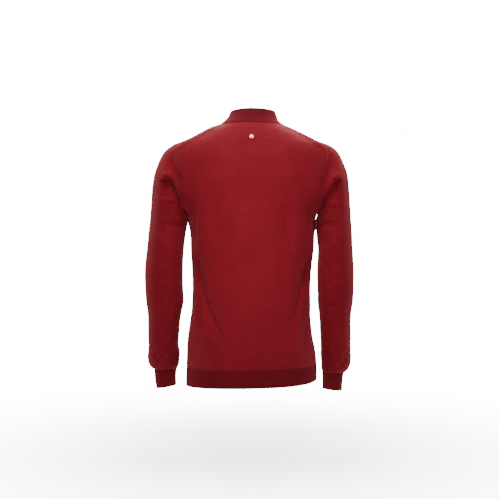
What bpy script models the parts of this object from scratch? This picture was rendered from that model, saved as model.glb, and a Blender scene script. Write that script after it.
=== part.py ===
"""A knitted sweater with a stand collar, long set-in sleeves, ribbed cuffs and a ribbed hem.

It keeps the hollow form of a worn garment. The front faces -Y, the wearer's left is +X, up is +Z.
The origin is at the back of the neck opening: z = 0 is the level of the collar seam at the nape.
Sizes and tables are in millimetres and become metres when a piece is made.
"""

import math

import bpy
import numpy as np

MM = 0.001

# Cloth and seams
CLOTH = 2.0
RIB_CLOTH = 2.4
COLLAR_CLOTH = 3.0
RIB_RAISE = 0.7
SEAM_GAP = 0.3

# Ribs in each band
HEM_RIBS = 80
CUFF_RIBS = 30
COLLAR_RIBS = 66

# Grid of the panels: rows on the side seam and on the armhole, columns on a shoulder seam, and the
# columns from a side seam to the long fold, across the fold and on to the middle
SIDE_ROWS = 14
BACK_ARMHOLE_ROWS = 9
FRONT_ARMHOLE_ROWS = 13
SHOULDER_COLUMNS = 8
BACK_COLUMNS = (5, 6, 4)
FRONT_COLUMNS = (5, 5, 4)
FOLD_BAND = 8.5
FOLD_ANGLES = (20.0, 60.0)
ARMPIT_DIP = 26.0
GRID_ROUNDS = 12

# Stud at the nape
STUD_Z = -39.0
STUD_RADIUS = 6.2
STUD_THICK = 1.4
STUD_CLEAR = 0.3

# Torso sections, level by level. left and right are half widths, back and front are depths from
# the middle, square is the exponent of the rounded section.
TORSO_COLUMNS = ("z", "left", "right", "back", "front", "square")
TORSO = (
    (-700.0, 173.0, 172.0, 108.0, 102.0, 2.30),
    (-683.0, 173.5, 173.0, 111.0, 104.0, 2.30),
    (-633.0, 171.5, 172.5, 115.0, 107.0, 2.30),
    (-600.0, 170.5, 169.0, 115.0, 107.5, 2.30),
    (-575.0, 170.0, 164.5, 113.5, 107.0, 2.30),
    (-545.0, 166.5, 159.5, 110.5, 105.5, 2.30),
    (-490.0, 158.5, 155.5, 104.5, 104.0, 2.28),
    (-425.0, 156.0, 155.5, 99.5, 106.0, 2.25),
    (-362.0, 158.0, 160.0, 101.0, 110.0, 2.28),
    (-331.0, 160.0, 164.5, 103.0, 112.0, 2.30),
    (-280.0, 162.5, 166.5, 106.5, 115.0, 2.32),
    (-262.0, 166.4, 167.2, 108.0, 116.0, 2.34),
    (-248.0, 168.8, 169.0, 109.0, 116.5, 2.35),
    (-235.0, 172.0, 173.0, 110.0, 117.0, 2.35),
    (-217.0, 182.0, 182.0, 111.0, 117.0, 2.35),
    (-187.0, 198.0, 197.0, 111.5, 116.0, 2.35),
    (-150.0, 212.0, 210.0, 110.5, 112.0, 2.32),
    (-125.0, 221.0, 219.0, 107.5, 107.5, 2.23),
    (-105.0, 226.5, 224.5, 104.0, 102.0, 2.16),
    (-88.0, 229.0, 227.0, 100.5, 97.0, 2.12),
    (-73.0, 227.5, 225.0, 96.0, 92.0, 2.10),
    (-62.0, 220.0, 218.0, 92.0, 87.5, 2.09),
    (-53.5, 208.5, 206.0, 89.0, 84.0, 2.08),
    (-45.0, 187.5, 181.5, 86.0, 80.0, 2.08),
    (-29.0, 150.0, 143.0, 79.0, 70.5, 2.06),
    (-13.0, 117.0, 108.0, 70.5, 61.5, 2.04),
    (0.0, 87.5, 86.0, 62.0, 55.0, 2.02),
    (3.0, 82.0, 82.5, 60.5, 54.0, 2.00),
    (12.0, 72.0, 73.0, 57.0, 51.0, 2.00),
)

# Armhole, from the armpit up the back, over the shoulder and down the front. around is the angle
# on the torso, 0 at the side and positive towards the back.
ARMHOLE_COLUMNS = ("around", "z")
ARMHOLE = (
    (0.0, -235.0),
    (14.5, -217.0),
    (23.5, -187.0),
    (28.0, -151.0),
    (28.7, -125.0),
    (29.2, -98.0),
    (27.5, -73.0),
    (16.0, -57.5),
    (0.0, -53.5),
    (-15.0, -57.5),
    (-26.5, -71.0),
    (-32.0, -92.0),
    (-34.3, -118.0),
    (-33.5, -150.0),
    (-27.0, -187.0),
    (-15.5, -217.0),
)
ARMHOLE_SEAM_ROW = 6

# Shoulder seam, from the armhole to the collar
SHOULDER_NAMES = ("z", "around")
SHOULDER = (
    (-73.0, 27.5),
    (-60.0, 32.0),
    (-48.0, 31.5),
    (-37.0, 29.5),
    (-20.0, 25.5),
    (2.0, 21.0),
)

# Neckline, from the middle of the front to the middle of the back
NECKLINE_COLUMNS = ("around", "z")
NECKLINE = (
    (-90.0, -31.0),
    (-75.0, -25.0),
    (-60.0, -16.0),
    (-45.0, -9.0),
    (-30.0, -4.0),
    (-15.0, -0.5),
    (0.0, 1.0),
    (21.0, 2.0),
    (35.0, 1.5),
    (60.0, 0.5),
    (90.0, 0.0),
)

# Hem: the seam above the ribbed band and its free edge, from side to side
HEM_COLUMNS = ("x", "seam", "edge")
HEM = (
    (-175.0, -631.0, -670.0),
    (-150.0, -631.5, -676.0),
    (-100.0, -632.0, -680.5),
    (0.0, -634.0, -683.5),
    (100.0, -636.0, -685.5),
    (175.0, -637.0, -687.0),
)

# Collar, from the neckline up. rise is the share of the height.
COLLAR_COLUMNS = ("rise", "left", "right", "back", "front")
COLLAR = (
    (0.0, 85.0, 84.5, 62.0, 71.0),
    (0.3, 71.5, 72.0, 58.5, 65.0),
    (0.6, 62.5, 68.0, 56.0, 60.0),
    (1.0, 56.5, 63.5, 54.5, 55.0),
)
COLLAR_TOP_COLUMNS = ("around", "z")
COLLAR_TOP = (
    (-90.0, 9.0),
    (-45.0, 19.0),
    (0.0, 33.5),
    (45.0, 38.0),
    (90.0, 39.5),
)

# Sleeve rings, from the armhole down. Each ring runs between an outer and an inner point and has a
# depth to the back and to the front.
SLEEVE_COLUMNS = ("out_x", "out_z", "in_x", "in_z", "back", "front")
SLEEVE_LEFT = (
    (210.0, -53.5, 172.0, -235.0, 60.0, -66.0),
    (234.0, -76.0, 174.2, -238.0, 63.0, -66.0),
    (248.0, -103.0, 172.3, -242.0, 64.0, -65.0),
    (258.0, -135.0, 170.9, -246.0, 63.5, -64.0),
    (262.5, -170.0, 169.7, -250.5, 62.0, -62.5),
    (265.5, -208.0, 168.9, -256.0, 61.0, -61.0),
    (269.0, -250.0, 170.0, -264.0, 60.0, -60.0),
    (273.0, -288.0, 175.0, -290.0, 59.0, -58.5),
    (277.0, -329.0, 179.0, -329.0, 58.5, -56.0),
    (282.5, -393.0, 182.0, -393.0, 57.0, -52.0),
    (279.5, -457.0, 179.5, -457.0, 51.0, -50.0),
    (274.5, -520.0, 189.5, -520.0, 41.0, -52.0),
    (274.5, -584.0, 194.5, -584.0, 28.0, -57.0),
    (277.5, -612.0, 192.0, -612.0, 21.0, -61.0),
    (275.0, -630.0, 192.5, -628.0, 15.0, -62.0),
    (268.5, -642.0, 196.5, -641.0, 9.0, -58.0),
    (260.0, -648.0, 200.0, -648.0, 4.5, -54.0),
)
SLEEVE_RIGHT = (
    (208.0, -53.5, 173.0, -235.0, 60.0, -66.0),
    (231.0, -76.0, 176.0, -238.0, 63.0, -66.0),
    (245.0, -103.0, 175.5, -242.0, 64.0, -65.0),
    (255.0, -135.0, 173.6, -246.0, 63.5, -64.0),
    (258.0, -170.0, 172.0, -250.5, 62.0, -62.5),
    (261.0, -208.0, 170.7, -256.0, 61.0, -61.0),
    (263.5, -250.0, 170.2, -264.0, 60.0, -60.0),
    (266.0, -288.0, 172.6, -290.0, 59.0, -58.5),
    (268.0, -329.0, 176.0, -329.0, 58.0, -56.0),
    (271.0, -393.0, 174.0, -393.0, 56.0, -52.0),
    (269.0, -457.0, 175.0, -457.0, 51.0, -50.0),
    (263.0, -520.0, 181.0, -520.0, 40.0, -52.0),
    (264.5, -584.0, 184.4, -584.0, 28.0, -57.0),
    (265.5, -616.0, 185.0, -616.0, 21.0, -60.0),
    (263.5, -635.0, 186.5, -634.0, 15.0, -61.0),
    (257.5, -649.0, 187.5, -649.0, 9.0, -57.5),
    (247.0, -658.0, 189.0, -656.0, 4.0, -53.5),
)
SLEEVE_STEPS = (0.3, 0.65, 1, 2, 3, 4, 5, 6, 7, 7.5, 8, 8.4, 8.8, 9.2, 9.6)
SLEEVE_LOW_STEPS = (10, 10.4, 10.8, 11.2, 11.6, 12, 12.5, 13, 14, 15, 16)
SLEEVE_SET_IN = 1.6

CUFF_LEFT = (
    (260.0, -648.0, 200.0, -648.0, 4.5, -54.0),
    (258.5, -672.0, 202.0, -669.0, 2.0, -54.5),
    (254.5, -699.0, 201.0, -690.0, -0.5, -53.5),
)
CUFF_RIGHT = (
    (247.0, -658.0, 189.0, -656.0, 4.0, -53.5),
    (243.5, -680.0, 189.5, -680.0, 1.0, -54.0),
    (242.5, -705.0, 190.0, -700.0, -1.5, -53.5),
)

# Folds of the body. A fold runs from its top to its low end and bows sideways; lift is how far it
# stands out, negative for a trough. side is +1 on the back and -1 on the front. The columns are
# side, top_x, top_z, low_x, low_z, bow, lift and reach.
BODY_FOLDS = (
    (1, 147.0, -335.0, 64.0, -585.0, 11.0, -6.5, 19.0),
    (1, 141.0, -450.0, 116.0, -600.0, 4.0, 3.0, 20.0),
    (1, -158.0, -335.0, -103.0, -545.0, 0.0, -6.0, 18.0),
    (1, -147.0, -400.0, -112.0, -580.0, 3.0, 3.5, 18.0),
    (1, 129.0, -190.0, 131.0, -340.0, 0.0, 3.0, 17.0),
    (1, 95.0, -165.0, 96.0, -300.0, 0.0, -3.0, 18.0),
    (1, -115.0, -190.0, -117.0, -365.0, 0.0, 3.0, 15.0),
    (1, -92.0, -170.0, -90.0, -300.0, 0.0, -2.5, 16.0),
    (1, -56.0, -330.0, -60.0, -510.0, 0.0, 2.5, 20.0),
    (1, 186.0, -150.0, 168.0, -238.0, 0.0, 3.5, 20.0),
    (1, -184.0, -150.0, -168.0, -238.0, 0.0, 3.5, 20.0),
    (-1, 150.0, -345.0, 78.0, -580.0, 9.0, -6.0, 24.0),
    (-1, -152.0, -340.0, -92.0, -570.0, -6.0, -6.0, 24.0),
    (-1, 118.0, -190.0, 108.0, -360.0, 0.0, 3.0, 24.0),
    (-1, -112.0, -200.0, -100.0, -350.0, 0.0, 3.0, 24.0),
)

# Crease where the upper sleeve hangs over the arm behind the armhole, as x and z. The cloth below
# it is set in.
CREASE_LEFT = (
    (240.0, -150.0),
    (227.0, -145.0),
    (213.0, -141.0),
    (201.0, -153.0),
    (189.0, -187.0),
    (178.0, -218.0),
    (171.0, -246.0),
)
CREASE_RIGHT = (
    (238.0, -146.0),
    (225.0, -145.0),
    (210.5, -153.0),
    (197.0, -176.0),
    (186.5, -193.0),
    (176.5, -218.0),
    (168.0, -246.0),
)
CREASE_DEPTH = 14.0
CREASE_STEP = 10.0
CREASE_FADE = 95.0

# Folds of the sleeves, as for the body
LEFT_SLEEVE_FOLDS = (
    (1, 240.0, -204.0, 198.0, -197.0, 0.0, 3.0, 13.0),
    (1, 226.0, -262.0, 176.0, -270.0, 0.0, -3.5, 13.0),
    (1, 222.0, -555.0, 192.0, -612.0, 0.0, 3.5, 14.0),
    (-1, 250.0, -400.0, 196.0, -440.0, 0.0, -4.0, 22.0),
    (-1, 245.0, -350.0, 190.0, -378.0, 0.0, -3.0, 20.0),
)
RIGHT_SLEEVE_FOLDS = (
    (1, 235.0, -215.0, 192.0, -206.0, 0.0, 2.5, 14.0),
    (1, 222.0, -262.0, 176.0, -268.0, 0.0, -3.0, 13.0),
    (1, 232.0, -560.0, 196.0, -600.0, 0.0, 3.0, 15.0),
    (-1, 240.0, -410.0, 190.0, -452.0, 0.0, -4.0, 22.0),
    (-1, 238.0, -356.0, 186.0, -386.0, 0.0, -3.0, 20.0),
)


def smooth_through(places, values, at):
    """A curve through the values that never overshoots, straight past its ends."""
    places = np.asarray(places, float)
    values = np.asarray(values, float)
    at = np.asarray(at, float)
    steps = np.diff(places)
    slopes = np.diff(values) / steps
    tangents = np.zeros(len(places))
    tangents[0] = slopes[0]
    tangents[-1] = slopes[-1]
    for i in range(1, len(places) - 1):
        before, after = slopes[i - 1], slopes[i]
        if before * after > 0:
            first = 2 * steps[i] + steps[i - 1]
            second = steps[i] + 2 * steps[i - 1]
            tangents[i] = (first + second) / (first / before + second / after)
    inside = np.clip(at, places[0], places[-1])
    i = np.clip(np.searchsorted(places, inside, side="right") - 1, 0, len(places) - 2)
    t = (inside - places[i]) / steps[i]
    low = (1 + 2 * t) * (1 - t) ** 2 * values[i] + t * (1 - t) ** 2 * steps[i] * tangents[i]
    high = t * t * (3 - 2 * t) * values[i + 1] + t * t * (t - 1) * steps[i] * tangents[i + 1]
    ends = np.where(at < places[0], tangents[0], tangents[-1])
    return low + high + (at - inside) * ends


def column(rows, names, name):
    """One named column of a table."""
    return [row[names.index(name)] for row in rows]


def reading(rows, names, name, at):
    """A named column of a table, read smoothly at places of the first column."""
    places = column(rows, names, names[0])
    return smooth_through(places, column(rows, names, name), at)


def unit(vectors):
    """The same directions, with length 1."""
    return vectors / np.maximum(np.linalg.norm(vectors, axis=-1, keepdims=True), 1e-9)


def ease(t):
    """0 to 1, soft at both ends."""
    t = np.clip(t, 0.0, 1.0)
    return t * t * (3 - 2 * t)


def fold_lift(folds, facing, x, z):
    """How far the folds move the cloth out, for points at x and z on the back or the front."""
    total = np.zeros(np.shape(x))
    for side, top_x, top_z, low_x, low_z, bow, lift, reach in folds:
        run = np.array([low_x - top_x, low_z - top_z])
        length = math.hypot(*run)
        along_x, along_z = run / length
        along = ((x - top_x) * along_x + (z - top_z) * along_z) / length
        across = (x - top_x) * -along_z + (z - top_z) * along_x
        across = across - 4 * bow * np.clip(along, 0, 1) * (1 - np.clip(along, 0, 1))
        ends = ease(along / 0.25) * ease((1 - along) / 0.25)
        hump = np.clip(1 - (across / reach) ** 2, 0, None) ** 2
        total = total + lift * hump * ends * (facing * side > 0)
    return total


def torso(around, z):
    """The plain torso: a rounded section at each level. around is in degrees, 90 is the back."""
    turn = np.radians(around)
    across, deep = np.cos(turn), np.sin(turn)
    square = reading(TORSO, TORSO_COLUMNS, "square", z)
    left = reading(TORSO, TORSO_COLUMNS, "left", z)
    right = reading(TORSO, TORSO_COLUMNS, "right", z)
    back = reading(TORSO, TORSO_COLUMNS, "back", z)
    front = reading(TORSO, TORSO_COLUMNS, "front", z)
    half = np.where(across >= 0, left, right)
    depth = np.where(deep >= 0, back, front)
    x = np.sign(across) * half * np.abs(across) ** (2 / square)
    y = np.sign(deep) * depth * np.abs(deep) ** (2 / square)
    return np.stack([x, y, z + 0 * x], axis=-1)


def facing_out(surface, first, second, first_step, second_step, sign):
    """The outward direction of a surface, from its points a little to each side."""
    one = surface(first + first_step, second) - surface(first - first_step, second)
    other = surface(first, second + second_step) - surface(first, second - second_step)
    return unit(sign * np.cross(one, other))


def body(around, z):
    """The torso with its folds."""
    around, z = np.broadcast_arrays(np.asarray(around, float), np.asarray(z, float))
    plain = torso(around, z)
    out = facing_out(torso, around, z, 0.4, 1.0, 1.0)
    deep = np.sin(np.radians(around))
    lift = fold_lift(BODY_FOLDS, np.sign(deep), plain[..., 0], plain[..., 2])
    return plain + out * (lift * ease(np.abs(deep) / 0.25))[..., None]


def body_out(around, z):
    """The outward direction of the folded torso."""
    return facing_out(body, np.asarray(around, float), np.asarray(z, float), 0.6, 2.0, 1.0)


def spread(points, count):
    """Places on a polyline that cut its length into equal parts, as shares of its points."""
    lengths = np.linalg.norm(np.diff(points, axis=0), axis=1)
    run = np.concatenate([[0.0], np.cumsum(lengths)])
    return np.interp(np.linspace(0, run[-1], count + 1), run, np.arange(len(points)))


def armhole_edge(count, front):
    """The armhole's angles and levels, from the armpit to the shoulder seam, by back or front."""
    rows = list(ARMHOLE) + [ARMHOLE[0]]
    turns = column(rows, ARMHOLE_COLUMNS, "around")
    levels = column(rows, ARMHOLE_COLUMNS, "z")
    order = list(range(len(rows)))
    if front:
        fine = np.linspace(len(rows) - 1, ARMHOLE_SEAM_ROW, 241)
    else:
        fine = np.linspace(0, ARMHOLE_SEAM_ROW, 241)
    around = smooth_through(order, turns, fine)
    z = smooth_through(order, levels, fine)
    picks = spread(torso(around, z), count)
    return np.interp(picks, np.arange(241), around), np.interp(picks, np.arange(241), z)


def shoulder_edge(count):
    """The shoulder seam's angles and levels, from the armhole to the collar."""
    z = np.linspace(SHOULDER[0][0], SHOULDER[-1][0], 121)
    around = reading(SHOULDER, SHOULDER_NAMES, "around", z)
    picks = spread(torso(around, z), count)
    return np.interp(picks, np.arange(121), around), np.interp(picks, np.arange(121), z)


def neck_level(around):
    """The level of the neckline at an angle from -90 in front to 270 in front again."""
    folded = np.where(around > 90, 180 - around, around)
    return reading(NECKLINE, NECKLINE_COLUMNS, "z", folded)


def neck_edge(count, front):
    """The neckline's angles and levels, from a shoulder seam to the middle of a panel."""
    around = np.linspace(SHOULDER[-1][1], -90.0 if front else 90.0, 121)
    z = neck_level(around)
    picks = spread(torso(around, z), count)
    return np.interp(picks, np.arange(121), around), np.interp(picks, np.arange(121), z)


def hem_seam_level(x):
    """The level of the hem seam at a place across the garment."""
    return reading(HEM, HEM_COLUMNS, "seam", x)


def hem_edge_level(x):
    """The level of the hem's free edge at a place across the garment."""
    return reading(HEM, HEM_COLUMNS, "edge", x)


def torso_angle(x, y, z):
    """The angle on the torso of a point at its surface."""
    square = reading(TORSO, TORSO_COLUMNS, "square", z)
    left = reading(TORSO, TORSO_COLUMNS, "left", z)
    right = reading(TORSO, TORSO_COLUMNS, "right", z)
    back = reading(TORSO, TORSO_COLUMNS, "back", z)
    front = reading(TORSO, TORSO_COLUMNS, "front", z)
    across = np.sign(x) * (np.abs(x) / np.where(x >= 0, left, right)) ** (square / 2)
    deep = np.sign(y) * (np.abs(y) / np.where(y >= 0, back, front)) ** (square / 2)
    return np.degrees(np.arctan2(deep, across)), np.hypot(across, deep) ** 2 - 1


def evened(points):
    """A grid on the torso with its inner points spaced evenly and its edges kept."""
    for turn in range(GRID_ROUNDS):
        inner = points[2:, 1:-1] + points[:-2, 1:-1] + points[1:-1, 2:] + points[1:-1, :-2]
        points[1:-1, 1:-1] = inner / 4
        flat = points[1:-1, 1:-1].reshape(-1, 3)
        for _ in range(12 if turn == GRID_ROUNDS - 1 else 3):
            off = torso_angle(*flat.T)[1]
            slope = []
            for axis in np.eye(3):
                high = torso_angle(*(flat + axis * 0.5).T)[1]
                low = torso_angle(*(flat - axis * 0.5).T)[1]
                slope.append(high - low)
            slope = np.array(slope).T
            flat = flat - slope * (0.9 * off / np.sum(slope * slope, axis=1))[:, None]
        points[1:-1, 1:-1] = flat.reshape(points[1:-1, 1:-1].shape)
    return points


def fold_angle(fold, z):
    """The angle of a long fold's line at a level, held within limits."""
    side, top_x, top_z, low_x, low_z, bow = fold[:6]
    along = np.clip((z - top_z) / (low_z - top_z), 0, 1)
    x = top_x + (low_x - top_x) * along + np.sign(top_x) * 4 * bow * along * (1 - along)
    half = reading(TORSO, TORSO_COLUMNS, "left" if top_x > 0 else "right", z)
    square = reading(TORSO, TORSO_COLUMNS, "square", z)
    share = np.clip(np.abs(x) / half, 0, 1) ** (square / 2)
    return np.clip(np.degrees(np.arccos(share)), *FOLD_ANGLES)


def panel_angles(front, z):
    """The angles of a panel's columns at a level, from the left side seam to the right."""
    side, band, middle = FRONT_COLUMNS if front else BACK_COLUMNS
    facing = -1 if front else 1
    long_folds = [fold for fold in BODY_FOLDS if fold[0] == facing and fold[6] < -5]
    halves = []
    for sign in (1, -1):
        fold = [f for f in long_folds if f[1] * sign > 0][0]
        centre = float(fold_angle(fold, np.array(z)))
        knots = (0, side, side + band, side + band + middle)
        places = (0.0, centre - FOLD_BAND, centre + FOLD_BAND, 90.0)
        halves.append(np.interp(np.arange(knots[-1] + 1), knots, places))
    return facing * np.concatenate([halves[0], 180.0 - halves[1][-2::-1]])


def panel_grid(front):
    """The angles and levels of all the points of the back or the front, row by row from the hem."""
    armpit_z = ARMHOLE[0][1]
    columns = panel_angles(front, armpit_z)
    half = len(columns) // 2
    dip = ARMPIT_DIP * (1 - np.exp(-np.abs(np.sin(np.radians(columns))) / 0.35))
    around, level = [], []
    for i in range(SIDE_ROWS + 1):
        share = i / SIDE_ROWS
        row = panel_angles(front, -634.0 * (1 - share) + armpit_z * share)
        hem = hem_seam_level(torso(row, np.full(len(row), -634.0))[:, 0])
        around.append(row)
        level.append(hem * (1 - share) + (armpit_z - dip) * share)
    count = FRONT_ARMHOLE_ROWS if front else BACK_ARMHOLE_ROWS
    turn_back = -180.0 if front else 180.0
    edge_around, edge_z = armhole_edge(count, front)
    seam_around, seam_z = shoulder_edge(SHOULDER_COLUMNS)
    neck_around, neck_z = neck_edge(half - SHOULDER_COLUMNS, front)
    top_around = np.concatenate([seam_around, neck_around[1:]])
    top_z = np.concatenate([seam_z, neck_z[1:]])
    top_around = np.concatenate([top_around, turn_back - top_around[-2::-1]])
    top_z = np.concatenate([top_z, top_z[-2::-1]])
    low = torso(around[-1], level[-1])
    top = torso(top_around, top_z)
    left = torso(edge_around, edge_z)
    right = torso(turn_back - edge_around, edge_z)
    run = np.concatenate([[0.0], np.cumsum(np.linalg.norm(np.diff(low, axis=0), axis=1))])
    shares = (run / run[-1])[:, None]
    points = [torso(around[-2], level[-2])]
    for k in range(count + 1):
        t = k / count
        sides = (1 - shares) * left[k] + shares * right[k]
        ends = (1 - t) * low + t * top
        near = (1 - t) * low[0] + t * top[0]
        far = (1 - t) * low[-1] + t * top[-1]
        points.append(sides + ends - (1 - shares) * near - shares * far)
    points = evened(np.array(points))
    found, z = torso_angle(*np.moveaxis(points, -1, 0))[0], points[..., 2]
    found = np.where(found * turn_back < -9000.0, found + 2 * turn_back, found)
    around[-1][1:-1], level[-1][1:-1] = found[1, 1:-1], z[1, 1:-1]
    for k in range(1, count):
        around.append(np.concatenate([[edge_around[k]], found[k + 1, 1:-1], [turn_back - edge_around[k]]]))
        level.append(np.concatenate([[edge_z[k]], z[k + 1, 1:-1], [edge_z[k]]]))
    around.append(top_around)
    level.append(top_z)
    return np.array(around), np.array(level)


def sleeve_rows(table, at):
    """The outer point, inner point and depths of the sleeve's rings at places in its table."""
    places = list(range(len(table)))
    return [smooth_through(places, column(table, SLEEVE_COLUMNS, name), at) for name in SLEEVE_COLUMNS]


def tube(table, turn, at):
    """A ring point of a sleeve or cuff on the left side. turn is in degrees, 90 is the back."""
    out_x, out_z, in_x, in_z, back, front = sleeve_rows(table, at)
    across, deep = np.cos(np.radians(turn)), np.sin(np.radians(turn))
    x = (out_x + in_x) / 2 + (out_x - in_x) / 2 * across
    z = (out_z + in_z) / 2 + (out_z - in_z) / 2 * across
    y = (back + front) / 2 + (back - front) / 2 * deep
    return np.stack([x, y, z], axis=-1)


def crease_shift(crease, x, z):
    """How far behind the armhole the sleeve is set in, for points at x and z."""
    best = np.full(np.shape(x), 1e9)
    signed = np.zeros(np.shape(x))
    for (x0, z0), (x1, z1) in zip(crease, crease[1:]):
        run_x, run_z = x1 - x0, z1 - z0
        length = math.hypot(run_x, run_z)
        t = np.clip(((x - x0) * run_x + (z - z0) * run_z) / length**2, 0, 1)
        away = np.hypot(x - x0 - t * run_x, z - z0 - t * run_z)
        cross = ((x - x0) * run_z - (z - z0) * run_x) / length
        signed = np.where(away < best, np.where(cross < 0, away, -away), signed)
        best = np.minimum(away, best)
    outer_end = ease((crease[0][0] - x) / 18.0)
    under = ease(signed / CREASE_STEP) * (1 - ease((signed - CREASE_STEP) / CREASE_FADE))
    over = np.clip(1 - ((signed + 9) / 11) ** 2, 0, None) ** 2
    return (-CREASE_DEPTH * under + 3.0 * over) * outer_end


def mirrored(points, side):
    """Left-hand points, or their mirror image for the right side."""
    return points * np.array([side, 1.0, 1.0])


def sleeve_loop(side):
    """The armhole's points, outward directions and directions into the sleeve, from the armpit."""
    back_around, back_z = armhole_edge(BACK_ARMHOLE_ROWS, False)
    front_around, front_z = armhole_edge(FRONT_ARMHOLE_ROWS, True)
    around = np.concatenate([back_around, front_around[-2:0:-1]])
    z = np.concatenate([back_z, front_z[-2:0:-1]])
    if side < 0:
        around = 180.0 - around
    points = body(around, z)
    out = body_out(around, z)
    ahead = np.roll(points, -1, axis=0) - np.roll(points, 1, axis=0)
    into = unit(np.cross(out, ahead)) * side
    return mirrored(points, side), mirrored(out, side), mirrored(into, side)


def sleeve_grid(side):
    """The points of a sleeve's outside, ring by ring, and the outward directions there."""
    table = SLEEVE_LEFT if side > 0 else SLEEVE_RIGHT
    crease = CREASE_LEFT if side > 0 else CREASE_RIGHT
    folds = LEFT_SLEEVE_FOLDS if side > 0 else RIGHT_SLEEVE_FOLDS
    loop, loop_out, into = sleeve_loop(side)
    out_x, out_z, in_x, in_z, back, front = [v[0] for v in sleeve_rows(table, np.array([0.0]))]
    axis = np.array([out_x - in_x, out_z - in_z]) / 2
    middle = np.array([out_x + in_x, out_z + in_z]) / 2
    along = ((loop[:, 0] - middle[0]) * axis[0] + (loop[:, 2] - middle[1]) * axis[1]) / (axis @ axis)
    deep = (loop[:, 1] - (back + front) / 2) / ((back - front) / 2)
    start = np.degrees(np.unwrap(np.arctan2(deep, along)))
    even = start[0] + np.linspace(0, 360, len(loop), endpoint=False) * np.sign(start[-1] - start[0])

    def surface(share, at):
        turn = (1 - ease(at / 7)) * turns(start, share) + ease(at / 7) * turns(even, share)
        first = turns(start, share)
        tube_0 = tube(table, first, np.zeros(np.shape(at)))
        speed_0 = (tube(table, first, np.full(np.shape(at), 0.02)) - tube_0) / 0.02
        pace = np.maximum(np.linalg.norm(speed_0, axis=-1, keepdims=True), 4.0)
        t = np.clip(at / SLEEVE_SET_IN, 0, 1)[..., None]
        hold = (1 + 2 * t) * (1 - t) ** 2
        lead = t * (1 - t) ** 2 * SLEEVE_SET_IN
        point = tube(table, turn, at)
        point = point + hold * (rounds(loop, share) - tube_0)
        point = point + lead * (rounds(into, share) * pace - speed_0)
        facing = np.sign(np.sin(np.radians(turn)))
        shift = fold_lift(folds, facing, point[..., 0], point[..., 2])
        behind = np.clip(np.sin(np.radians(turn)), 0, 1)
        ends = ease(at / 1.0) * ease((16 - at) / 1.5)
        set_in = crease_shift(crease, point[..., 0], point[..., 2]) * ease(behind / 0.35)
        outward = np.stack([np.cos(np.radians(turn)), np.sin(np.radians(turn)), 0 * turn], axis=-1)
        point = point + outward * (shift * ends)[..., None]
        return point + np.array([0.0, 1.0, 0.0]) * (set_in * ends)[..., None]

    shares = np.arange(len(loop), dtype=float)
    rows = [loop + into * SEAM_GAP]
    outs = [loop_out]
    for at in SLEEVE_STEPS + SLEEVE_LOW_STEPS:
        level = np.full(len(loop), float(at))
        rows.append(surface(shares, level))
        outs.append(facing_out(surface, shares, level, 0.2, 0.05, 1.0))
    rows, outs = np.array(rows), np.array(outs)
    centre = rows.mean(axis=1, keepdims=True)
    if np.mean(np.sum((rows - centre) * outs, axis=-1)[1:]) < 0:
        outs[1:] = -outs[1:]
    return rows, outs


def turns(angles, share):
    """Angles of a ring at fractional places, going on past the last point."""
    count = len(angles)
    whole = np.sign(angles[-1] - angles[0]) * 360.0
    longer = np.concatenate([angles - whole, angles, angles + whole])
    return np.interp(share, np.arange(-count, 2 * count), longer)


def rounds(points, share):
    """Points of a closed ring at fractional places."""
    count = len(points)
    places = np.arange(-count, 2 * count)
    longer = np.concatenate([points, points, points])
    return np.stack([np.interp(share, places, longer[:, i]) for i in range(3)], axis=-1)


def mitre(first, second):
    """The shared direction of two walls at a seam, long enough to keep their thickness."""
    both = unit(first + second)
    return both / np.maximum(np.sum(both * unit(first), axis=-1, keepdims=True), 0.55)


def wall_faces(rows, cols, closed):
    """Triangles of a wall: an outer and an inner sheet of rows by cols points, and its edges."""
    def outer(i, j):
        return i * cols + j % cols

    def inner(i, j):
        return rows * cols + i * cols + j % cols

    faces = []
    spans = cols if closed else cols - 1
    for i in range(rows - 1):
        for j in range(spans):
            a, b, c, d = outer(i, j), outer(i, j + 1), outer(i + 1, j + 1), outer(i + 1, j)
            e, f, g, h = inner(i, j), inner(i, j + 1), inner(i + 1, j + 1), inner(i + 1, j)
            faces += [(a, b, c), (a, c, d), (e, g, f), (e, h, g)]
    for j in range(spans):
        a, b, e, f = outer(0, j), outer(0, j + 1), inner(0, j), inner(0, j + 1)
        faces += [(b, a, e), (b, e, f)]
        a, b = outer(rows - 1, j), outer(rows - 1, j + 1)
        e, f = inner(rows - 1, j), inner(rows - 1, j + 1)
        faces += [(a, b, f), (a, f, e)]
    if not closed:
        for i in range(rows - 1):
            a, b, e, f = outer(i, 0), outer(i + 1, 0), inner(i, 0), inner(i + 1, 0)
            faces += [(a, b, f), (a, f, e)]
            a, b = outer(i, cols - 1), outer(i + 1, cols - 1)
            e, f = inner(i, cols - 1), inner(i + 1, cols - 1)
            faces += [(b, a, e), (b, e, f)]
    return faces


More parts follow.
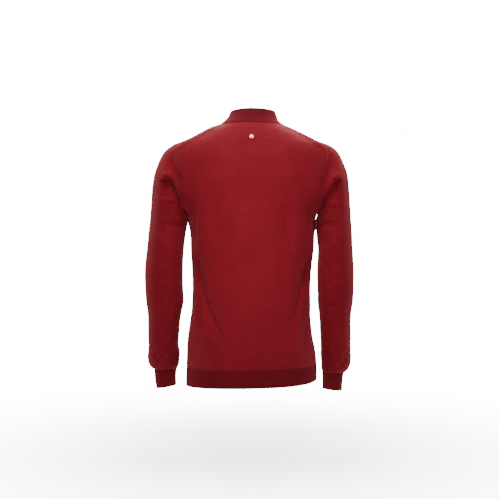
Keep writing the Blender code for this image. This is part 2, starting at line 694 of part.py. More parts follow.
def ribbed_faces(rows, ribs, closed, inner_rows):
    """Triangles of a ribbed band: two outer columns to a rib and one inner column."""
    cols = 2 * ribs if closed else 2 * ribs + 1
    inner_cols = ribs if closed else ribs + 1

    def outer(i, j):
        return i * cols + j % cols

    def inner(i, j):
        return rows * cols + i * inner_cols + j % inner_cols

    faces = []
    for i in range(rows - 1):
        for j in range(2 * ribs):
            a, b, c, d = outer(i, j), outer(i, j + 1), outer(i + 1, j + 1), outer(i + 1, j)
            faces += [(a, b, c), (a, c, d)]
    for i in range(inner_rows - 1):
        for j in range(ribs):
            e, f, g, h = inner(i, j), inner(i, j + 1), inner(i + 1, j + 1), inner(i + 1, j)
            faces += [(e, g, f), (e, h, g)]
    for j in range(ribs):
        a, b, c = outer(0, 2 * j), outer(0, 2 * j + 1), outer(0, 2 * j + 2)
        e, f = inner(0, j), inner(0, j + 1)
        faces += [(b, a, e), (b, e, f), (c, b, f)]
        a, b, c = (outer(rows - 1, 2 * j + k) for k in range(3))
        e, f = inner(inner_rows - 1, j), inner(inner_rows - 1, j + 1)
        faces += [(a, b, e), (b, f, e), (b, c, f)]
    if not closed:
        left = [outer(i, 0) for i in range(rows)]
        left += [inner(i, 0) for i in range(inner_rows - 1, -1, -1)]
        right = [outer(i, cols - 1) for i in range(rows)]
        right += [inner(i, inner_cols - 1) for i in range(inner_rows - 1, -1, -1)]
        faces += [(left[0], left[k], left[k + 1]) for k in range(1, len(left) - 1)]
        faces += [(right[0], right[k + 1], right[k]) for k in range(1, len(right) - 1)]
    return faces


def signed_volume(points, faces):
    """Six times the volume that the triangles close, positive where they face out."""
    corners = points[np.array(faces)]
    crossed = np.cross(corners[:, 1], corners[:, 2])
    return float(np.sum(corners[:, 0] * crossed))


def make_piece(name, points, faces, colour, metallic, roughness):
    """A closed, named piece with its own finish."""
    points = np.asarray(points, float)
    if signed_volume(points - points.mean(axis=0), faces) < 0:
        faces = [face[::-1] for face in faces]
    mesh = bpy.data.meshes.new(name)
    mesh.from_pydata([tuple(p * MM) for p in points], [], faces)
    mesh.update()
    piece = bpy.data.objects.new(name, mesh)
    bpy.context.collection.objects.link(piece)
    for face in mesh.polygons:
        face.use_smooth = True
    finish = bpy.data.materials.new(name + "_finish")
    finish.use_nodes = True
    shader = finish.node_tree.nodes["Principled BSDF"]
    shader.inputs["Base Color"].default_value = (*colour, 1.0)
    shader.inputs["Metallic"].default_value = metallic
    shader.inputs["Roughness"].default_value = roughness
    mesh.materials.append(finish)
    return piece


KNIT = (0.24, 0.012, 0.018)
RIB_KNIT = (0.17, 0.009, 0.013)
ROSE_METAL = (0.9, 0.52, 0.38)


def wall(name, outer, outs, thick, closed, colour):
    """A cloth piece: its outer points and, one thickness behind them, its inner points."""
    rows, cols = outer.shape[:2]
    inner = outer - outs * thick
    points = np.concatenate([outer.reshape(-1, 3), inner.reshape(-1, 3)])
    return make_piece(name, points, wall_faces(rows, cols, closed), colour, 0.0, 0.85)


def ribbed(name, outer, outs, inner, closed, colour):
    """A ribbed piece: every second outer column is let back to make the ribs."""
    rows, cols = outer.shape[:2]
    ribs = cols // 2
    valley = (np.arange(cols) % 2 == 1).astype(float)
    strength = np.ones(rows)
    strength[0] = 0.35
    strength[-1] = 0.6
    shaped = outer - outs * (RIB_RAISE * strength[:, None] * valley[None, :])[..., None]
    points = np.concatenate([shaped.reshape(-1, 3), inner.reshape(-1, 3)])
    faces = ribbed_faces(rows, ribs, closed, inner.shape[0])
    return make_piece(name, points, faces, colour, 0.0, 0.85)


def seam_shift(points, outs, inward):
    """How edge points move into their own piece to leave half of the seam gap."""
    away = unit(np.cross(np.gradient(points, axis=0), outs))
    toward = np.sign(np.sum(away * inward, axis=-1, keepdims=True))
    return away * toward * SEAM_GAP / 2


def collar_point(around, rise):
    """A point of the collar's outside above the neckline."""
    turn = np.radians(around)
    across, deep = np.cos(turn), np.sin(turn)
    left = reading(COLLAR, COLLAR_COLUMNS, "left", rise)
    right = reading(COLLAR, COLLAR_COLUMNS, "right", rise)
    back = reading(COLLAR, COLLAR_COLUMNS, "back", rise)
    front = reading(COLLAR, COLLAR_COLUMNS, "front", rise)
    base_z = neck_level(around)
    folded = np.where(around > 90, 180 - around, around)
    top_z = reading(COLLAR_TOP, COLLAR_TOP_COLUMNS, "z", folded)
    x = np.where(across >= 0, left, right) * across
    y = np.where(deep >= 0, back, front) * deep
    point = np.stack([x, y, base_z + (top_z - base_z) * rise], axis=-1)
    base = torso(around, base_z)
    plain = np.stack([
        np.where(across >= 0, COLLAR[0][1], COLLAR[0][2]) * across,
        np.where(deep >= 0, COLLAR[0][3], COLLAR[0][4]) * deep,
        base_z,
    ], axis=-1)
    settle = (1 - ease(rise / 0.6))[..., None]
    return point + (base - plain) * settle


def collar_out(around, rise):
    """The outward direction of the collar."""
    around = np.asarray(around, float)
    rise = np.asarray(rise, float)
    return facing_out(collar_point, around, np.clip(rise, 0.02, 0.98), 0.6, 0.02, 1.0)


def neck_ring():
    """The neckline's corner points as the panels have them, all round, with shared directions."""
    half_back = sum(BACK_COLUMNS) - SHOULDER_COLUMNS
    half_front = sum(FRONT_COLUMNS) - SHOULDER_COLUMNS
    back_around, _ = neck_edge(half_back, False)
    front_around, _ = neck_edge(half_front, True)
    left = np.concatenate([front_around[::-1], back_around[1:]])
    around = np.concatenate([left, 180.0 - left[-2:0:-1]])
    z = neck_level(around)
    shared = mitre(body_out(around, z), collar_out(around, np.zeros(len(around))))
    return around, body(around, z), shared


def on_ring(places, values, at, whole):
    """Straight-line values between the corners of a closed ring."""
    longer = np.concatenate([places - whole, places, places + whole])
    return np.stack([
        np.interp(at, longer, np.tile(values[:, i], 3)) for i in range(values.shape[1])
    ], axis=-1)


def build_panel(name, front):
    """The back or the front, with its seams held off their neighbours."""
    around, z = panel_grid(front)
    points = body(around, z)
    outs = body_out(around, z)
    ring_around, _, ring_shared = neck_ring()
    top = points.shape[0] - 1
    first, last = SHOULDER_COLUMNS, points.shape[1] - 1 - SHOULDER_COLUMNS
    for j in range(first, last + 1):
        angle = around[top, j] + (360.0 if around[top, j] < -90.0 else 0.0)
        outs[top, j] = on_ring(ring_around, ring_shared, angle, 360.0)
    moved = points.copy()
    seams = [(0, slice(None), 1, slice(None))]
    for columns in (slice(0, first + 1), slice(first, last + 1), slice(last, None)):
        seams.append((top, columns, top - 1, columns))
    below = slice(0, SIDE_ROWS + 1)
    seams += [(below, 0, below, 1), (below, -1, below, -2)]
    for row, col, near_row, near_col in seams:
        edge, inward = points[row, col], points[near_row, near_col] - points[row, col]
        moved[row, col] += seam_shift(edge, outs[row, col], inward)
    return wall(name, moved, outs, CLOTH, False, KNIT)


def build_hem(name, front):
    """A ribbed hem band under the back or the front."""
    cols = 2 * HEM_RIBS + 1
    sign = -1.0 if front else 1.0
    fine = np.linspace(0.0, 180.0, 721) * sign
    ring = torso(fine, np.full(721, -634.0))
    picks = np.interp(spread(ring, 2 * HEM_RIBS), np.arange(721), fine)
    across = torso(picks, np.full(cols, -634.0))[:, 0]
    seam, edge = hem_seam_level(across), hem_edge_level(across)
    outer, outs = [], []
    for share in (0.0, 0.5, 1.0):
        level = seam * (1 - share) + edge * share
        outer.append(body(picks, level))
        outs.append(body_out(picks, level))
    outer, outs = np.array(outer), np.array(outs)
    outer[0, :, 2] -= SEAM_GAP / 2
    step = sign * SEAM_GAP / 2
    outer[:, 0, 1] += step
    outer[:, -1, 1] += step
    inner = (outer - outs * RIB_CLOTH)[::2, ::2]
    return ribbed(name, outer, outs, inner, False, RIB_KNIT)


def build_sleeve(name, side):
    """A sleeve, and the last ring that its cuff is linked to."""
    outer, outs = sleeve_grid(side)
    cuff = CUFF_LEFT if side > 0 else CUFF_RIGHT
    centre = outer[-1].mean(axis=0)
    turn = np.arctan2(outer[-1, :, 1] - centre[1], outer[-1, :, 0] - centre[0])
    angle = np.degrees(turn)
    cuff_outs = np.stack([np.cos(turn), np.sin(turn), 0 * turn], axis=-1)
    shared = mitre(outs[-1], cuff_outs)
    outs[-1] = shared
    seam = outer[-1].copy()
    outer[-1, :, 2] += SEAM_GAP / 2
    wall(name, mirrored(outer, side), mirrored(outs, side), CLOTH, True, KNIT)
    build_cuff(name.replace("sleeve", "cuff"), side, cuff, seam, shared, angle)


def build_cuff(name, side, table, seam, shared, angle):
    """A ribbed cuff under the last ring of its sleeve."""
    cols = 2 * CUFF_RIBS
    order = np.argsort(angle)
    fine = np.linspace(-180.0, 180.0, cols, endpoint=False)
    turn = np.radians(fine)
    top = on_ring(angle[order], seam[order], fine, 360.0)
    top_outs = on_ring(angle[order], shared[order], fine, 360.0)
    outer, outs = [top - np.array([0.0, 0.0, SEAM_GAP / 2])], [top_outs]
    for at in (1.0, 2.0):
        ring = tube(table, fine, np.full(cols, at))
        outer.append(ring)
        outs.append(np.stack([np.cos(turn), np.sin(turn), 0 * turn], axis=-1))
    outer, outs = np.array(outer), np.array(outs)
    inner = (outer - outs * RIB_CLOTH)[::2, ::2]
    ribbed(name, mirrored(outer, side), mirrored(outs, side), mirrored(inner, side), True, RIB_KNIT)


def build_collar():
    """The stand collar, folded double, on the neckline."""
    ring_around, ring_points, ring_shared = neck_ring()
    cols = 2 * COLLAR_RIBS
    fine = np.linspace(-90.0, 270.0, 721)
    loop = torso(fine, neck_level(fine))
    picks = np.interp(spread(loop, cols), np.arange(721), fine)[:-1]
    base = on_ring(ring_around, ring_points, picks, 360.0)
    shared = on_ring(ring_around, ring_shared, picks, 360.0)
    up = np.tile([0.0, 0.0, 1.0], (cols, 1))
    outer, outs = [base + seam_shift(base, shared, up)], [shared]
    for rise in (0.33, 0.66, 1.0):
        share = np.full(cols, rise)
        outer.append(collar_point(picks, share))
        outs.append(collar_out(picks, share))
    outer, outs = np.array(outer), np.array(outs)
    inner = (outer - outs * COLLAR_CLOTH)[:, ::2]
    ribbed("collar", outer, outs, inner, True, RIB_KNIT)


def build_stud():
    """A plain round metal stud on the back, just below the collar."""
    count = 20
    middle = body(np.array([90.0]), np.array([STUD_Z]))[0]
    out = body_out(np.array([90.0]), np.array([STUD_Z]))[0]
    across = np.array([1.0, 0.0, 0.0])
    up = np.cross(out, across)
    profile = (
        (STUD_RADIUS, STUD_CLEAR),
        (STUD_RADIUS, STUD_CLEAR + STUD_THICK * 0.55),
        (STUD_RADIUS * 0.84, STUD_CLEAR + STUD_THICK),
    )
    points = []
    for radius, height in profile:
        for k in range(count):
            turn = 2 * math.pi * k / count
            x = radius * math.cos(turn)
            rise = radius * math.sin(turn)
            around = 90.0 - math.degrees(x / TORSO[-1][1]) * 0.5
            foot = body(np.array([around]), np.array([STUD_Z + rise * up[2]]))[0]
            sag = float(np.dot(foot - middle, out))
            lift = height + max(sag, 0.0) if height > STUD_CLEAR else height
            points.append(middle + across * x + up * rise + out * lift)
    points.append(middle + out * STUD_CLEAR)
    points.append(middle + out * (STUD_CLEAR + STUD_THICK))
    faces = []
    for ring in range(2):
        for k in range(count):
            a, b = ring * count + k, ring * count + (k + 1) % count
            faces += [(a, b, b + count), (a, b + count, a + count)]
    for k in range(count):
        faces.append((len(points) - 2, (k + 1) % count, k))
        faces.append((len(points) - 1, 2 * count + k, 2 * count + (k + 1) % count))
    make_piece("nape_stud", points, faces, ROSE_METAL, 1.0, 0.3)


def clear_scene():
    """An empty scene to build in."""
    for thing in list(bpy.data.objects):
        bpy.data.objects.remove(thing, do_unlink=True)


def main():
    clear_scene()
    build_panel("back", False)
    build_panel("front", True)
    build_hem("hem_back", False)
    build_hem("hem_front", True)
    build_sleeve("sleeve_left", 1.0)
    build_sleeve("sleeve_right", -1.0)
    build_collar()
    build_stud()


main()
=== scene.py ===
"""A red fine-knit sweater with a stand collar, standing open as it is worn.

The front faces -Y, the wearer's left is +X, up is +Z. z = 0 is the level of the collar seam at the
nape. Sizes and tables are in millimetres and become metres when a piece is made.
"""

import math

import bmesh
import bpy
import numpy as np
from mathutils import Matrix, Vector, noise


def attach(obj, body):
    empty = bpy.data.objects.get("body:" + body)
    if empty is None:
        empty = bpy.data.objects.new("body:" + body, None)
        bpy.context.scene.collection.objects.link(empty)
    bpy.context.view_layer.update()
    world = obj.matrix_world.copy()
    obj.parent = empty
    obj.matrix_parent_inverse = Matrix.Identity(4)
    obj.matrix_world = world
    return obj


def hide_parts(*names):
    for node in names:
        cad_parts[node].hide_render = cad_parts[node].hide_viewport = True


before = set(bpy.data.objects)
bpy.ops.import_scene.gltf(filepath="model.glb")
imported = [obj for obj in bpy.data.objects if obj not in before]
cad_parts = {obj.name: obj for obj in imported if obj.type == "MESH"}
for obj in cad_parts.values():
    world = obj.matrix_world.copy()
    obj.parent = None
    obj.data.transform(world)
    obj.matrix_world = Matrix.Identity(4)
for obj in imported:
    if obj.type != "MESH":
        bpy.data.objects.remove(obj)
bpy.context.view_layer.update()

MM = 0.001

# Cloth and seams
CLOTH = 2.0
RIB_CLOTH = 2.4
COLLAR_CLOTH = 3.0
RIB_RAISE = 0.7
SEAM_GAP = 0.3

# Ribs in each band
HEM_RIBS = 80
CUFF_RIBS = 30
COLLAR_RIBS = 66

# Grid of the panels: rows on the side seam and on the armhole, columns on a shoulder seam, and the
# columns from a side seam to the long fold, across the fold and on to the middle
SIDE_ROWS = 14
BACK_ARMHOLE_ROWS = 9
FRONT_ARMHOLE_ROWS = 13
SHOULDER_COLUMNS = 8
BACK_COLUMNS = (5, 6, 4)
FRONT_COLUMNS = (5, 5, 4)
FOLD_BAND = 8.5
FOLD_ANGLES = (20.0, 60.0)
ARMPIT_DIP = 26.0
GRID_ROUNDS = 12

# Stud at the nape
STUD_Z = -39.0
STUD_RADIUS = 6.2
STUD_THICK = 1.4
STUD_CLEAR = 0.3

# Torso sections, level by level. left and right are half widths, back and front are depths from
# the middle, square is the exponent of the rounded section.
TORSO_COLUMNS = ("z", "left", "right", "back", "front", "square")
TORSO = (
    (-700, 173, 172, 108, 102, 2.30),
    (-683, 173.5, 173, 111, 104, 2.30),
    (-633, 171.5, 172.5, 115, 107, 2.30),
    (-600, 170.5, 169, 115, 107.5, 2.30),
    (-575, 170, 164.5, 113.5, 107, 2.30),
    (-545, 166.5, 159.5, 110.5, 105.5, 2.30),
    (-490, 158.5, 155.5, 104.5, 104, 2.28),
    (-425, 156, 155.5, 99.5, 106, 2.25),
    (-362, 158, 160, 101, 110, 2.28),
    (-331, 160, 164.5, 103, 112, 2.30),
    (-280, 162.5, 166.5, 106.5, 115, 2.32),
    (-262, 166.4, 167.2, 108, 116, 2.34),
    (-248, 168.8, 169, 109, 116.5, 2.35),
    (-235, 172, 173, 110, 117, 2.35),
    (-217, 182, 182, 111, 117, 2.35),
    (-187, 198, 197, 111.5, 116, 2.35),
    (-150, 212, 210, 110.5, 112, 2.32),
    (-125, 221, 219, 107.5, 107.5, 2.23),
    (-105, 226.5, 224.5, 104, 102, 2.16),
    (-88, 229, 227, 100.5, 97, 2.12),
    (-73, 227.5, 225, 96, 92, 2.10),
    (-62, 220, 218, 92, 87.5, 2.09),
    (-53.5, 208.5, 206, 89, 84, 2.08),
    (-45, 187.5, 181.5, 86, 80, 2.08),
    (-29, 150, 143, 79, 70.5, 2.06),
    (-13, 117, 108, 70.5, 61.5, 2.04),
    (0, 87.5, 86, 62, 55, 2.02),
    (3, 82, 82.5, 60.5, 54, 2.00),
    (12, 72, 73, 57, 51, 2.00),
)

# Armhole, from the armpit up the back, over the shoulder and down the front. around is the angle
# on the torso, 0 at the side and positive towards the back.
ARMHOLE_COLUMNS = ("around", "z")
ARMHOLE = (
    (0, -235),
    (14.5, -217),
    (23.5, -187),
    (28, -151),
    (28.7, -125),
    (29.2, -98),
    (27.5, -73),
    (16, -57.5),
    (0, -53.5),
    (-15, -57.5),
    (-26.5, -71),
    (-32, -92),
    (-34.3, -118),
    (-33.5, -150),
    (-27, -187),
    (-15.5, -217),
)
ARMHOLE_SEAM_ROW = 6

# Shoulder seam, from the armhole to the collar
SHOULDER_NAMES = ("z", "around")
SHOULDER = (
    (-73, 27.5),
    (-60, 32),
    (-48, 31.5),
    (-37, 29.5),
    (-20, 25.5),
    (2, 21),
)

# Neckline, from the middle of the front to the middle of the back
NECKLINE_COLUMNS = ("around", "z")
NECKLINE = (
    (-90, -31),
    (-75, -25),
    (-60, -16),
    (-45, -9),
    (-30, -4),
    (-15, -0.5),
    (0, 1),
    (21, 2),
    (35, 1.5),
    (60, 0.5),
    (90, 0),
)

# Hem: the seam above the ribbed band and its free edge, from side to side
HEM_LEVEL = -634.0
HEM_COLUMNS = ("x", "seam", "edge")
HEM = (
    (-175, -631, -670),
    (-150, -631.5, -676),
    (-100, -632, -680.5),
    (0, -634, -683.5),
    (100, -636, -685.5),
    (175, -637, -687),
)

# Collar, from the neckline up. rise is the share of the height.
COLLAR_COLUMNS = ("rise", "left", "right", "back", "front")
COLLAR = (
    (0, 85, 84.5, 62, 71),
    (0.3, 71.5, 72, 58.5, 65),
    (0.6, 62.5, 68, 56, 60),
    (1, 56.5, 63.5, 54.5, 55),
)
COLLAR_TOP_COLUMNS = ("around", "z")
COLLAR_TOP = (
    (-90, 9),
    (-45, 19),
    (0, 33.5),
    (45, 38),
    (90, 39.5),
)

# Sleeve rings, from the armhole down. Each ring runs between an outer and an inner point and has a
# depth to the back and to the front.
SLEEVE_COLUMNS = ("out_x", "out_z", "in_x", "in_z", "back", "front")
SLEEVE_LEFT = (
    (210, -53.5, 172, -235, 60, -66),
    (234, -76, 173.2, -238, 63, -66),
    (248, -103, 171.3, -242, 64, -65),
    (258, -135, 170.2, -246, 63.5, -64),
    (262.5, -170, 169.3, -250.5, 62, -62.5),
    (265.5, -208, 168.9, -256, 61, -61),
    (269, -250, 170, -264, 60, -60),
    (273, -288, 175, -290, 59, -58.5),
    (277, -329, 179, -329, 58.5, -56),
    (282.5, -393, 182, -393, 57, -52),
    (279.5, -457, 179.5, -457, 51, -50),
    (274.5, -520, 189.5, -520, 41, -52),
    (274.5, -584, 194.5, -584, 28, -57),
    (277.5, -612, 192, -612, 21, -61),
    (275, -630, 192.5, -628, 15, -62),
    (268.5, -642, 196.5, -641, 9, -58),
    (260, -648, 200, -648, 4.5, -54),
)
SLEEVE_RIGHT = (
    (208, -53.5, 173, -235, 60, -66),
    (231, -76, 176, -238, 63, -66),
    (245, -103, 175.5, -242, 64, -65),
    (255, -135, 173.6, -246, 63.5, -64),
    (258, -170, 172, -250.5, 62, -62.5),
    (261, -208, 170.7, -256, 61, -61),
    (263.5, -250, 170.2, -264, 60, -60),
    (266, -288, 172.6, -290, 59, -58.5),
    (268, -329, 176, -329, 58, -56),
    (271, -393, 174, -393, 56, -52),
    (269, -457, 175, -457, 51, -50),
    (263, -520, 181, -520, 40, -52),
    (264.5, -584, 184.4, -584, 28, -57),
    (265.5, -616, 185, -616, 21, -60),
    (263.5, -635, 186.5, -634, 15, -61),
    (257.5, -649, 187.5, -649, 9, -57.5),
    (247, -658, 189, -656, 4, -53.5),
)
SLEEVE_SET_IN = 1.6

CUFF_LEFT = (
    (260, -648, 200, -648, 4.5, -54),
    (258.5, -672, 202, -669, 2, -54.5),
    (254.5, -699, 201, -690, -0.5, -53.5),
)
CUFF_RIGHT = (
    (247, -658, 189, -656, 4, -53.5),
    (243.5, -680, 189.5, -680, 1, -54),
    (242.5, -705, 190, -700, -1.5, -53.5),
)

# Folds of the body: side, top x and z, low x and z, bow, lift and reach. A fold runs from its top to
# its low end and bows sideways; lift is how far it stands out, negative for a trough. side is +1 on
# the back and -1 on the front.
BODY_FOLDS = (
    (1, 147, -335, 64, -585, 11, -9, 18),
    (1, 141, -450, 116, -600, 4, 3, 20),
    (1, -158, -335, -103, -545, 0, -8.5, 17),
    (1, -147, -400, -112, -580, 3, 3.5, 18),
    (1, 129, -190, 131, -340, 0, 3, 17),
    (1, 95, -165, 96, -300, 0, -3, 18),
    (1, -115, -190, -117, -365, 0, 3, 15),
    (1, -92, -170, -90, -300, 0, -2.5, 16),
    (1, -56, -330, -60, -510, 0, 2.5, 20),
    (1, 186, -150, 168, -238, 0, 3.5, 20),
    (1, -184, -150, -168, -238, 0, 3.5, 20),
    (-1, 150, -345, 78, -580, 9, -6, 24),
    (-1, -152, -340, -92, -570, -6, -6, 24),
    (-1, 118, -190, 108, -360, 0, 3, 24),
    (-1, -112, -200, -100, -350, 0, 3, 24),
)

# Crease where the upper sleeve hangs over the arm behind the armhole, as x and z along its line. The
# cloth below it is set in, and the cloth above it stands out by the overhang, over its own width.
CREASE_LEFT = (
    (240, -150),
    (227, -145),
    (213, -141),
    (201, -153),
    (189, -187),
    (178, -218),
    (171, -246),
)
CREASE_RIGHT = (
    (238, -146),
    (225, -145),
    (210.5, -153),
    (197, -176),
    (186.5, -193),
    (176.5, -218),
    (168, -246),
)
CREASE_DEPTH = 17.0
CREASE_STEP = 5.5
CREASE_FADE = 90.0
CREASE_OUTER_FADE = 18.0
OVERHANG = 3.0
OVERHANG_MIDDLE = 9.0
OVERHANG_REACH = 11.0

# Folds of the sleeves, as for the body
LEFT_SLEEVE_FOLDS = (
    (1, 240, -204, 198, -197, 0, 3, 13),
    (1, 226, -189, 200, -190, 2, -2.2, 6),
    (1, 226, -262, 176, -270, 0, -3.5, 13),
    (1, 222, -555, 192, -612, 0, 3.5, 14),
    (1, 209, -578, 191, -611, 2, 2.2, 4.5),
    (-1, 250, -400, 196, -440, 0, -4, 22),
    (-1, 245, -350, 190, -378, 0, -3, 20),
)
RIGHT_SLEEVE_FOLDS = (
    (1, 235, -215, 192, -206, 0, 2.5, 14),
    (1, 222, -262, 176, -268, 0, -3, 13),
    (1, 232, -560, 196, -600, 0, 3, 15),
    (-1, 240, -410, 190, -452, 0, -4, 22),
    (-1, 238, -356, 186, -386, 0, -3, 20),
)

# How many times finer the cloth is here than its solid, the height of a sleeve's row, and the ribs
# of each band
FINE = 5
SLEEVE_ROW = 3.6
RIB_FINER = 1.5
RIB_POINTS = 4
HEM_ROWS = 15
CUFF_ROWS = 16
CUFF_END = 1.97
COLLAR_ROWS = (0.08, 0.965, 14)
BAND_EDGE_ANGLES = (0.5, 1.0, 1.6, 2.14, 2.64)

# Points on the lines from which edges and rings are read
EDGE_SAMPLES = 241
LINE_SAMPLES = 121
RING_SAMPLES = 1441

# How far the cloth is drawn in at its seams, how its cut edges are rounded, the level above which
# rows of knit bend over the shoulders, and the unevenness of the cloth as height and size
SEAM_DIP = 0.8
EDGE_ROUND = 0.95
LEVEL_TOP = -110.0
BODY_RUFFLE = (0.7, 46.0)
SLEEVE_RUFFLE = (0.8, 40.0)
WELD = 0.000002

# Linking stitches of the seams
LINK_PITCH = 2.6
LINK_LENGTH = 1.4
LINK_WIDTH = 0.75
LINK_SINK = 0.15
LINK_HIDDEN = 0.60
LINK_LEAN = 0.45

# Stitches in metres, and the wool finishes: slot, name, dark and light tone, roughness, sheen, stitch
# and relief. Painted shade darkens the hollows between the stitches by the shade tone.
PANEL_STITCH = (0.0016, 0.0012, 1.0)
RIB_STITCH = (0.00124, 0.0012, 1.0)
PAINTED_HOLLOW_SHADE = 0.35
PAINTED_SHADE_TONE = (0.45, 0.38, 0.40, 1.0)
WOOLS = (
    ("knit", "knit_wool", (0.125, 0.0034, 0.0080), (0.265, 0.0090, 0.0200), 0.80, 0.22,
     PANEL_STITCH, 0.0005),
    ("rib_knit", "rib_wool", (0.080, 0.0020, 0.0050), (0.185, 0.0060, 0.0130), 0.84, 0.15,
     RIB_STITCH, 0.0004),
    ("collar_knit", "collar_wool", (0.095, 0.0040, 0.0085), (0.190, 0.0110, 0.0210), 0.86, 0.20,
     RIB_STITCH, 0.0004),
    # The linking yarn is paler than the knit of the same red: a painted highlight, as if its raised
    # loops caught the light.
    ("linking", "linking_yarn_painted_highlight", (0.27, 0.010, 0.018), (0.46, 0.032, 0.045), 0.80, 0.28,
     PANEL_STITCH, 0.0005),
)

# Floor, camera and lights, in metres and watts
FLOOR_Z = -0.86
FLOOR_RADIUS = 2.0
FLOOR_FADE = (0.15, 1.3)
FLOOR_GLOW = 3.0
CAMERA_PLACE = (0.0053, 2.6, -0.329)
CAMERA_LENS = 70.8
ROOM_LIGHT = 0.22
ROOM_WHITE = 16.0

# Each light: name, place, the point it faces, size, power and spread in degrees
LIGHTS = (
    ("top", (0.0, -0.25, 1.90), (0.0, 0.0, -0.10), (1.0, 0.6), 34.0, 180.0),
    ("overhead", (0.10, 1.10, 1.70), (0.0, 0.0, -0.25), (1.0, 0.7), 46.0, 180.0),
    ("overhead_front", (-0.10, -1.35, 1.45), (0.0, 0.0, -0.20), (1.4, 0.5), 60.0, 180.0),
    ("near_back", (0.01, 1.35, -0.20), (0.0, 0.0, -0.24), (0.12, 0.60), 0.70, 36.0),
    ("near_front", (-0.01, -1.35, -0.20), (0.0, 0.0, -0.24), (0.12, 0.60), 0.30, 50.0),
    ("left_side", (2.0, -0.7, 0.45), (0.2, 0.0, -0.25), (0.8, 1.4), 30.0, 180.0),
    ("right_side", (-2.0, -0.7, 0.45), (-0.2, 0.0, -0.25), (0.8, 1.4), 30.0, 180.0),
)

# Smaller creases of the body and the sleeves, as the folds above
BODY_CREASES = (
    (1, 147, -338, 90, -540, 10, -2.4, 11),
    (1, 153, -345, 143, -440, 3, -3, 13),
    (1, 145, -466, 138, -545, 0, 2.6, 9),
    (1, 141, -500, 125, -585, -2, -2.2, 8),
    (1, 120, -380, 84, -520, 8, 1.8, 11),
    (1, -157, -340, -110, -515, 0, -2.4, 11),
    (1, -140, -395, -118, -560, 3, 1.8, 9),
    (1, -150, -480, -132, -590, 2, -1.6, 9),
    (1, 110, -560, 60, -628, 4, -1.4, 14),
    (1, -92, -540, -60, -626, -3, -1.4, 14),
    (1, 38, -300, 34, -520, 2, 1.2, 22),
    (1, 8, -160, 6, -420, 0, -0.9, 26),
    (1, -59, -335, -60, -500, 0, 1.3, 5),
    (1, 205, -75, 76, 3, -2.8, 3.6, 9),
    (1, -203, -75, -76, 3, 2.8, 3.6, 9),
    (1, -128, -170, -127, -280, 0, -1.8, 9),
    (1, 143, -230, 146, -320, 0, -1.6, 9),
    (-1, 150, -350, 96, -540, 8, -2.2, 9),
    (-1, 144, -440, 120, -585, 2, 2.2, 12),
    (-1, -152, -350, -104, -530, -5, -2.2, 9),
    (-1, -146, -420, -118, -570, -2, 2.2, 12),
    (-1, 128, -175, 70, -236, 5, -1.6, 13),
    (-1, -126, -178, -66, -240, -5, -1.6, 13),
    (-1, 60, -300, 46, -560, 3, 1.3, 22),
    (-1, -54, -320, -44, -590, -3, 1.3, 22),
    (-1, 6, -240, 4, -600, 0, -1, 28),
)
LEFT_SLEEVE_CREASES = (
    (1, 240, -290, 190, -312, 3, -1.6, 12),
    (1, 246, -352, 192, -382, -4, -1.6, 12),
    (1, 250, -405, 196, -438, -4, 1.8, 12),
    (1, 248, -452, 196, -470, 3, -1.8, 10),
    (1, 240, -500, 200, -545, -3, -1.6, 9),
    (1, 214, -565, 196, -625, 2, -1.6, 8),
    (1, 246, -600, 214, -634, 2, 2, 8),
    (1, 262, -575, 240, -632, 2, -1.6, 9),
    (-1, 250, -300, 190, -322, -3, -1.8, 13),
    (-1, 252, -425, 200, -462, -4, 1.8, 12),
    (-1, 248, -500, 200, -520, 3, -1.8, 12),
    (-1, 255, -575, 205, -600, 3, -2, 10),
    (-1, 250, -612, 206, -622, 0, 2, 8),
)
RIGHT_SLEEVE_CREASES = (
    (1, 236, -296, 184, -314, 3, -1.6, 12),
    (1, 240, -360, 184, -384, -4, -1.6, 12),
    (1, 243, -415, 186, -444, -4, 1.8, 12),
    (1, 238, -466, 188, -480, 3, -1.8, 10),
    (1, 236, -515, 192, -552, -3, -1.6, 9),
    (1, 206, -585, 190, -636, 2, -1.6, 8),
    (1, 240, -612, 206, -644, 2, 2, 8),
    (1, 254, -590, 232, -642, 2, -1.6, 9),
    (-1, 240, -306, 186, -328, -3, -1.8, 13),
    (-1, 242, -432, 190, -468, -4, 1.8, 12),
    (-1, 240, -508, 192, -528, 3, -1.8, 12),
    (-1, 246, -585, 196, -610, 3, -2, 10),
    (-1, 240, -622, 196, -632, 0, 2, 8),
)
BODY_FOLDS += BODY_CREASES
LEFT_SLEEVE_FOLDS += LEFT_SLEEVE_CREASES
RIGHT_SLEEVE_FOLDS += RIGHT_SLEEVE_CREASES


def smooth_through(places, values, at):
    """A curve through the values that never overshoots, straight past its ends."""
    places = np.asarray(places, float)
    values = np.asarray(values, float)
    at = np.asarray(at, float)
    steps = np.diff(places)
    slopes = np.diff(values) / steps
    tangents = np.zeros(len(places))
    tangents[0] = slopes[0]
    tangents[-1] = slopes[-1]
    for i in range(1, len(places) - 1):
        before, after = slopes[i - 1], slopes[i]
        if before * after > 0:
            first = 2 * steps[i] + steps[i - 1]
            second = steps[i] + 2 * steps[i - 1]
            tangents[i] = (first + second) / (first / before + second / after)
    inside = np.clip(at, places[0], places[-1])
    i = np.clip(np.searchsorted(places, inside, side="right") - 1, 0, len(places) - 2)
    t = (inside - places[i]) / steps[i]
    low = (1 + 2 * t) * (1 - t) ** 2 * values[i] + t * (1 - t) ** 2 * steps[i] * tangents[i]
    high = t * t * (3 - 2 * t) * values[i + 1] + t * t * (t - 1) * steps[i] * tangents[i + 1]
    ends = np.where(at < places[0], tangents[0], tangents[-1])
    return low + high + (at - inside) * ends


def column(rows, names, name):
    """One named column of a table."""
    return [row[names.index(name)] for row in rows]


def reading(rows, names, name, at):
    """A named column of a table, read smoothly at places of the first column."""
    places = column(rows, names, names[0])
    return smooth_through(places, column(rows, names, name), at)


def readings(rows, names, at):
    """Every column of a table after the first, read smoothly at places of the first."""
    return [reading(rows, names, name, at) for name in names[1:]]


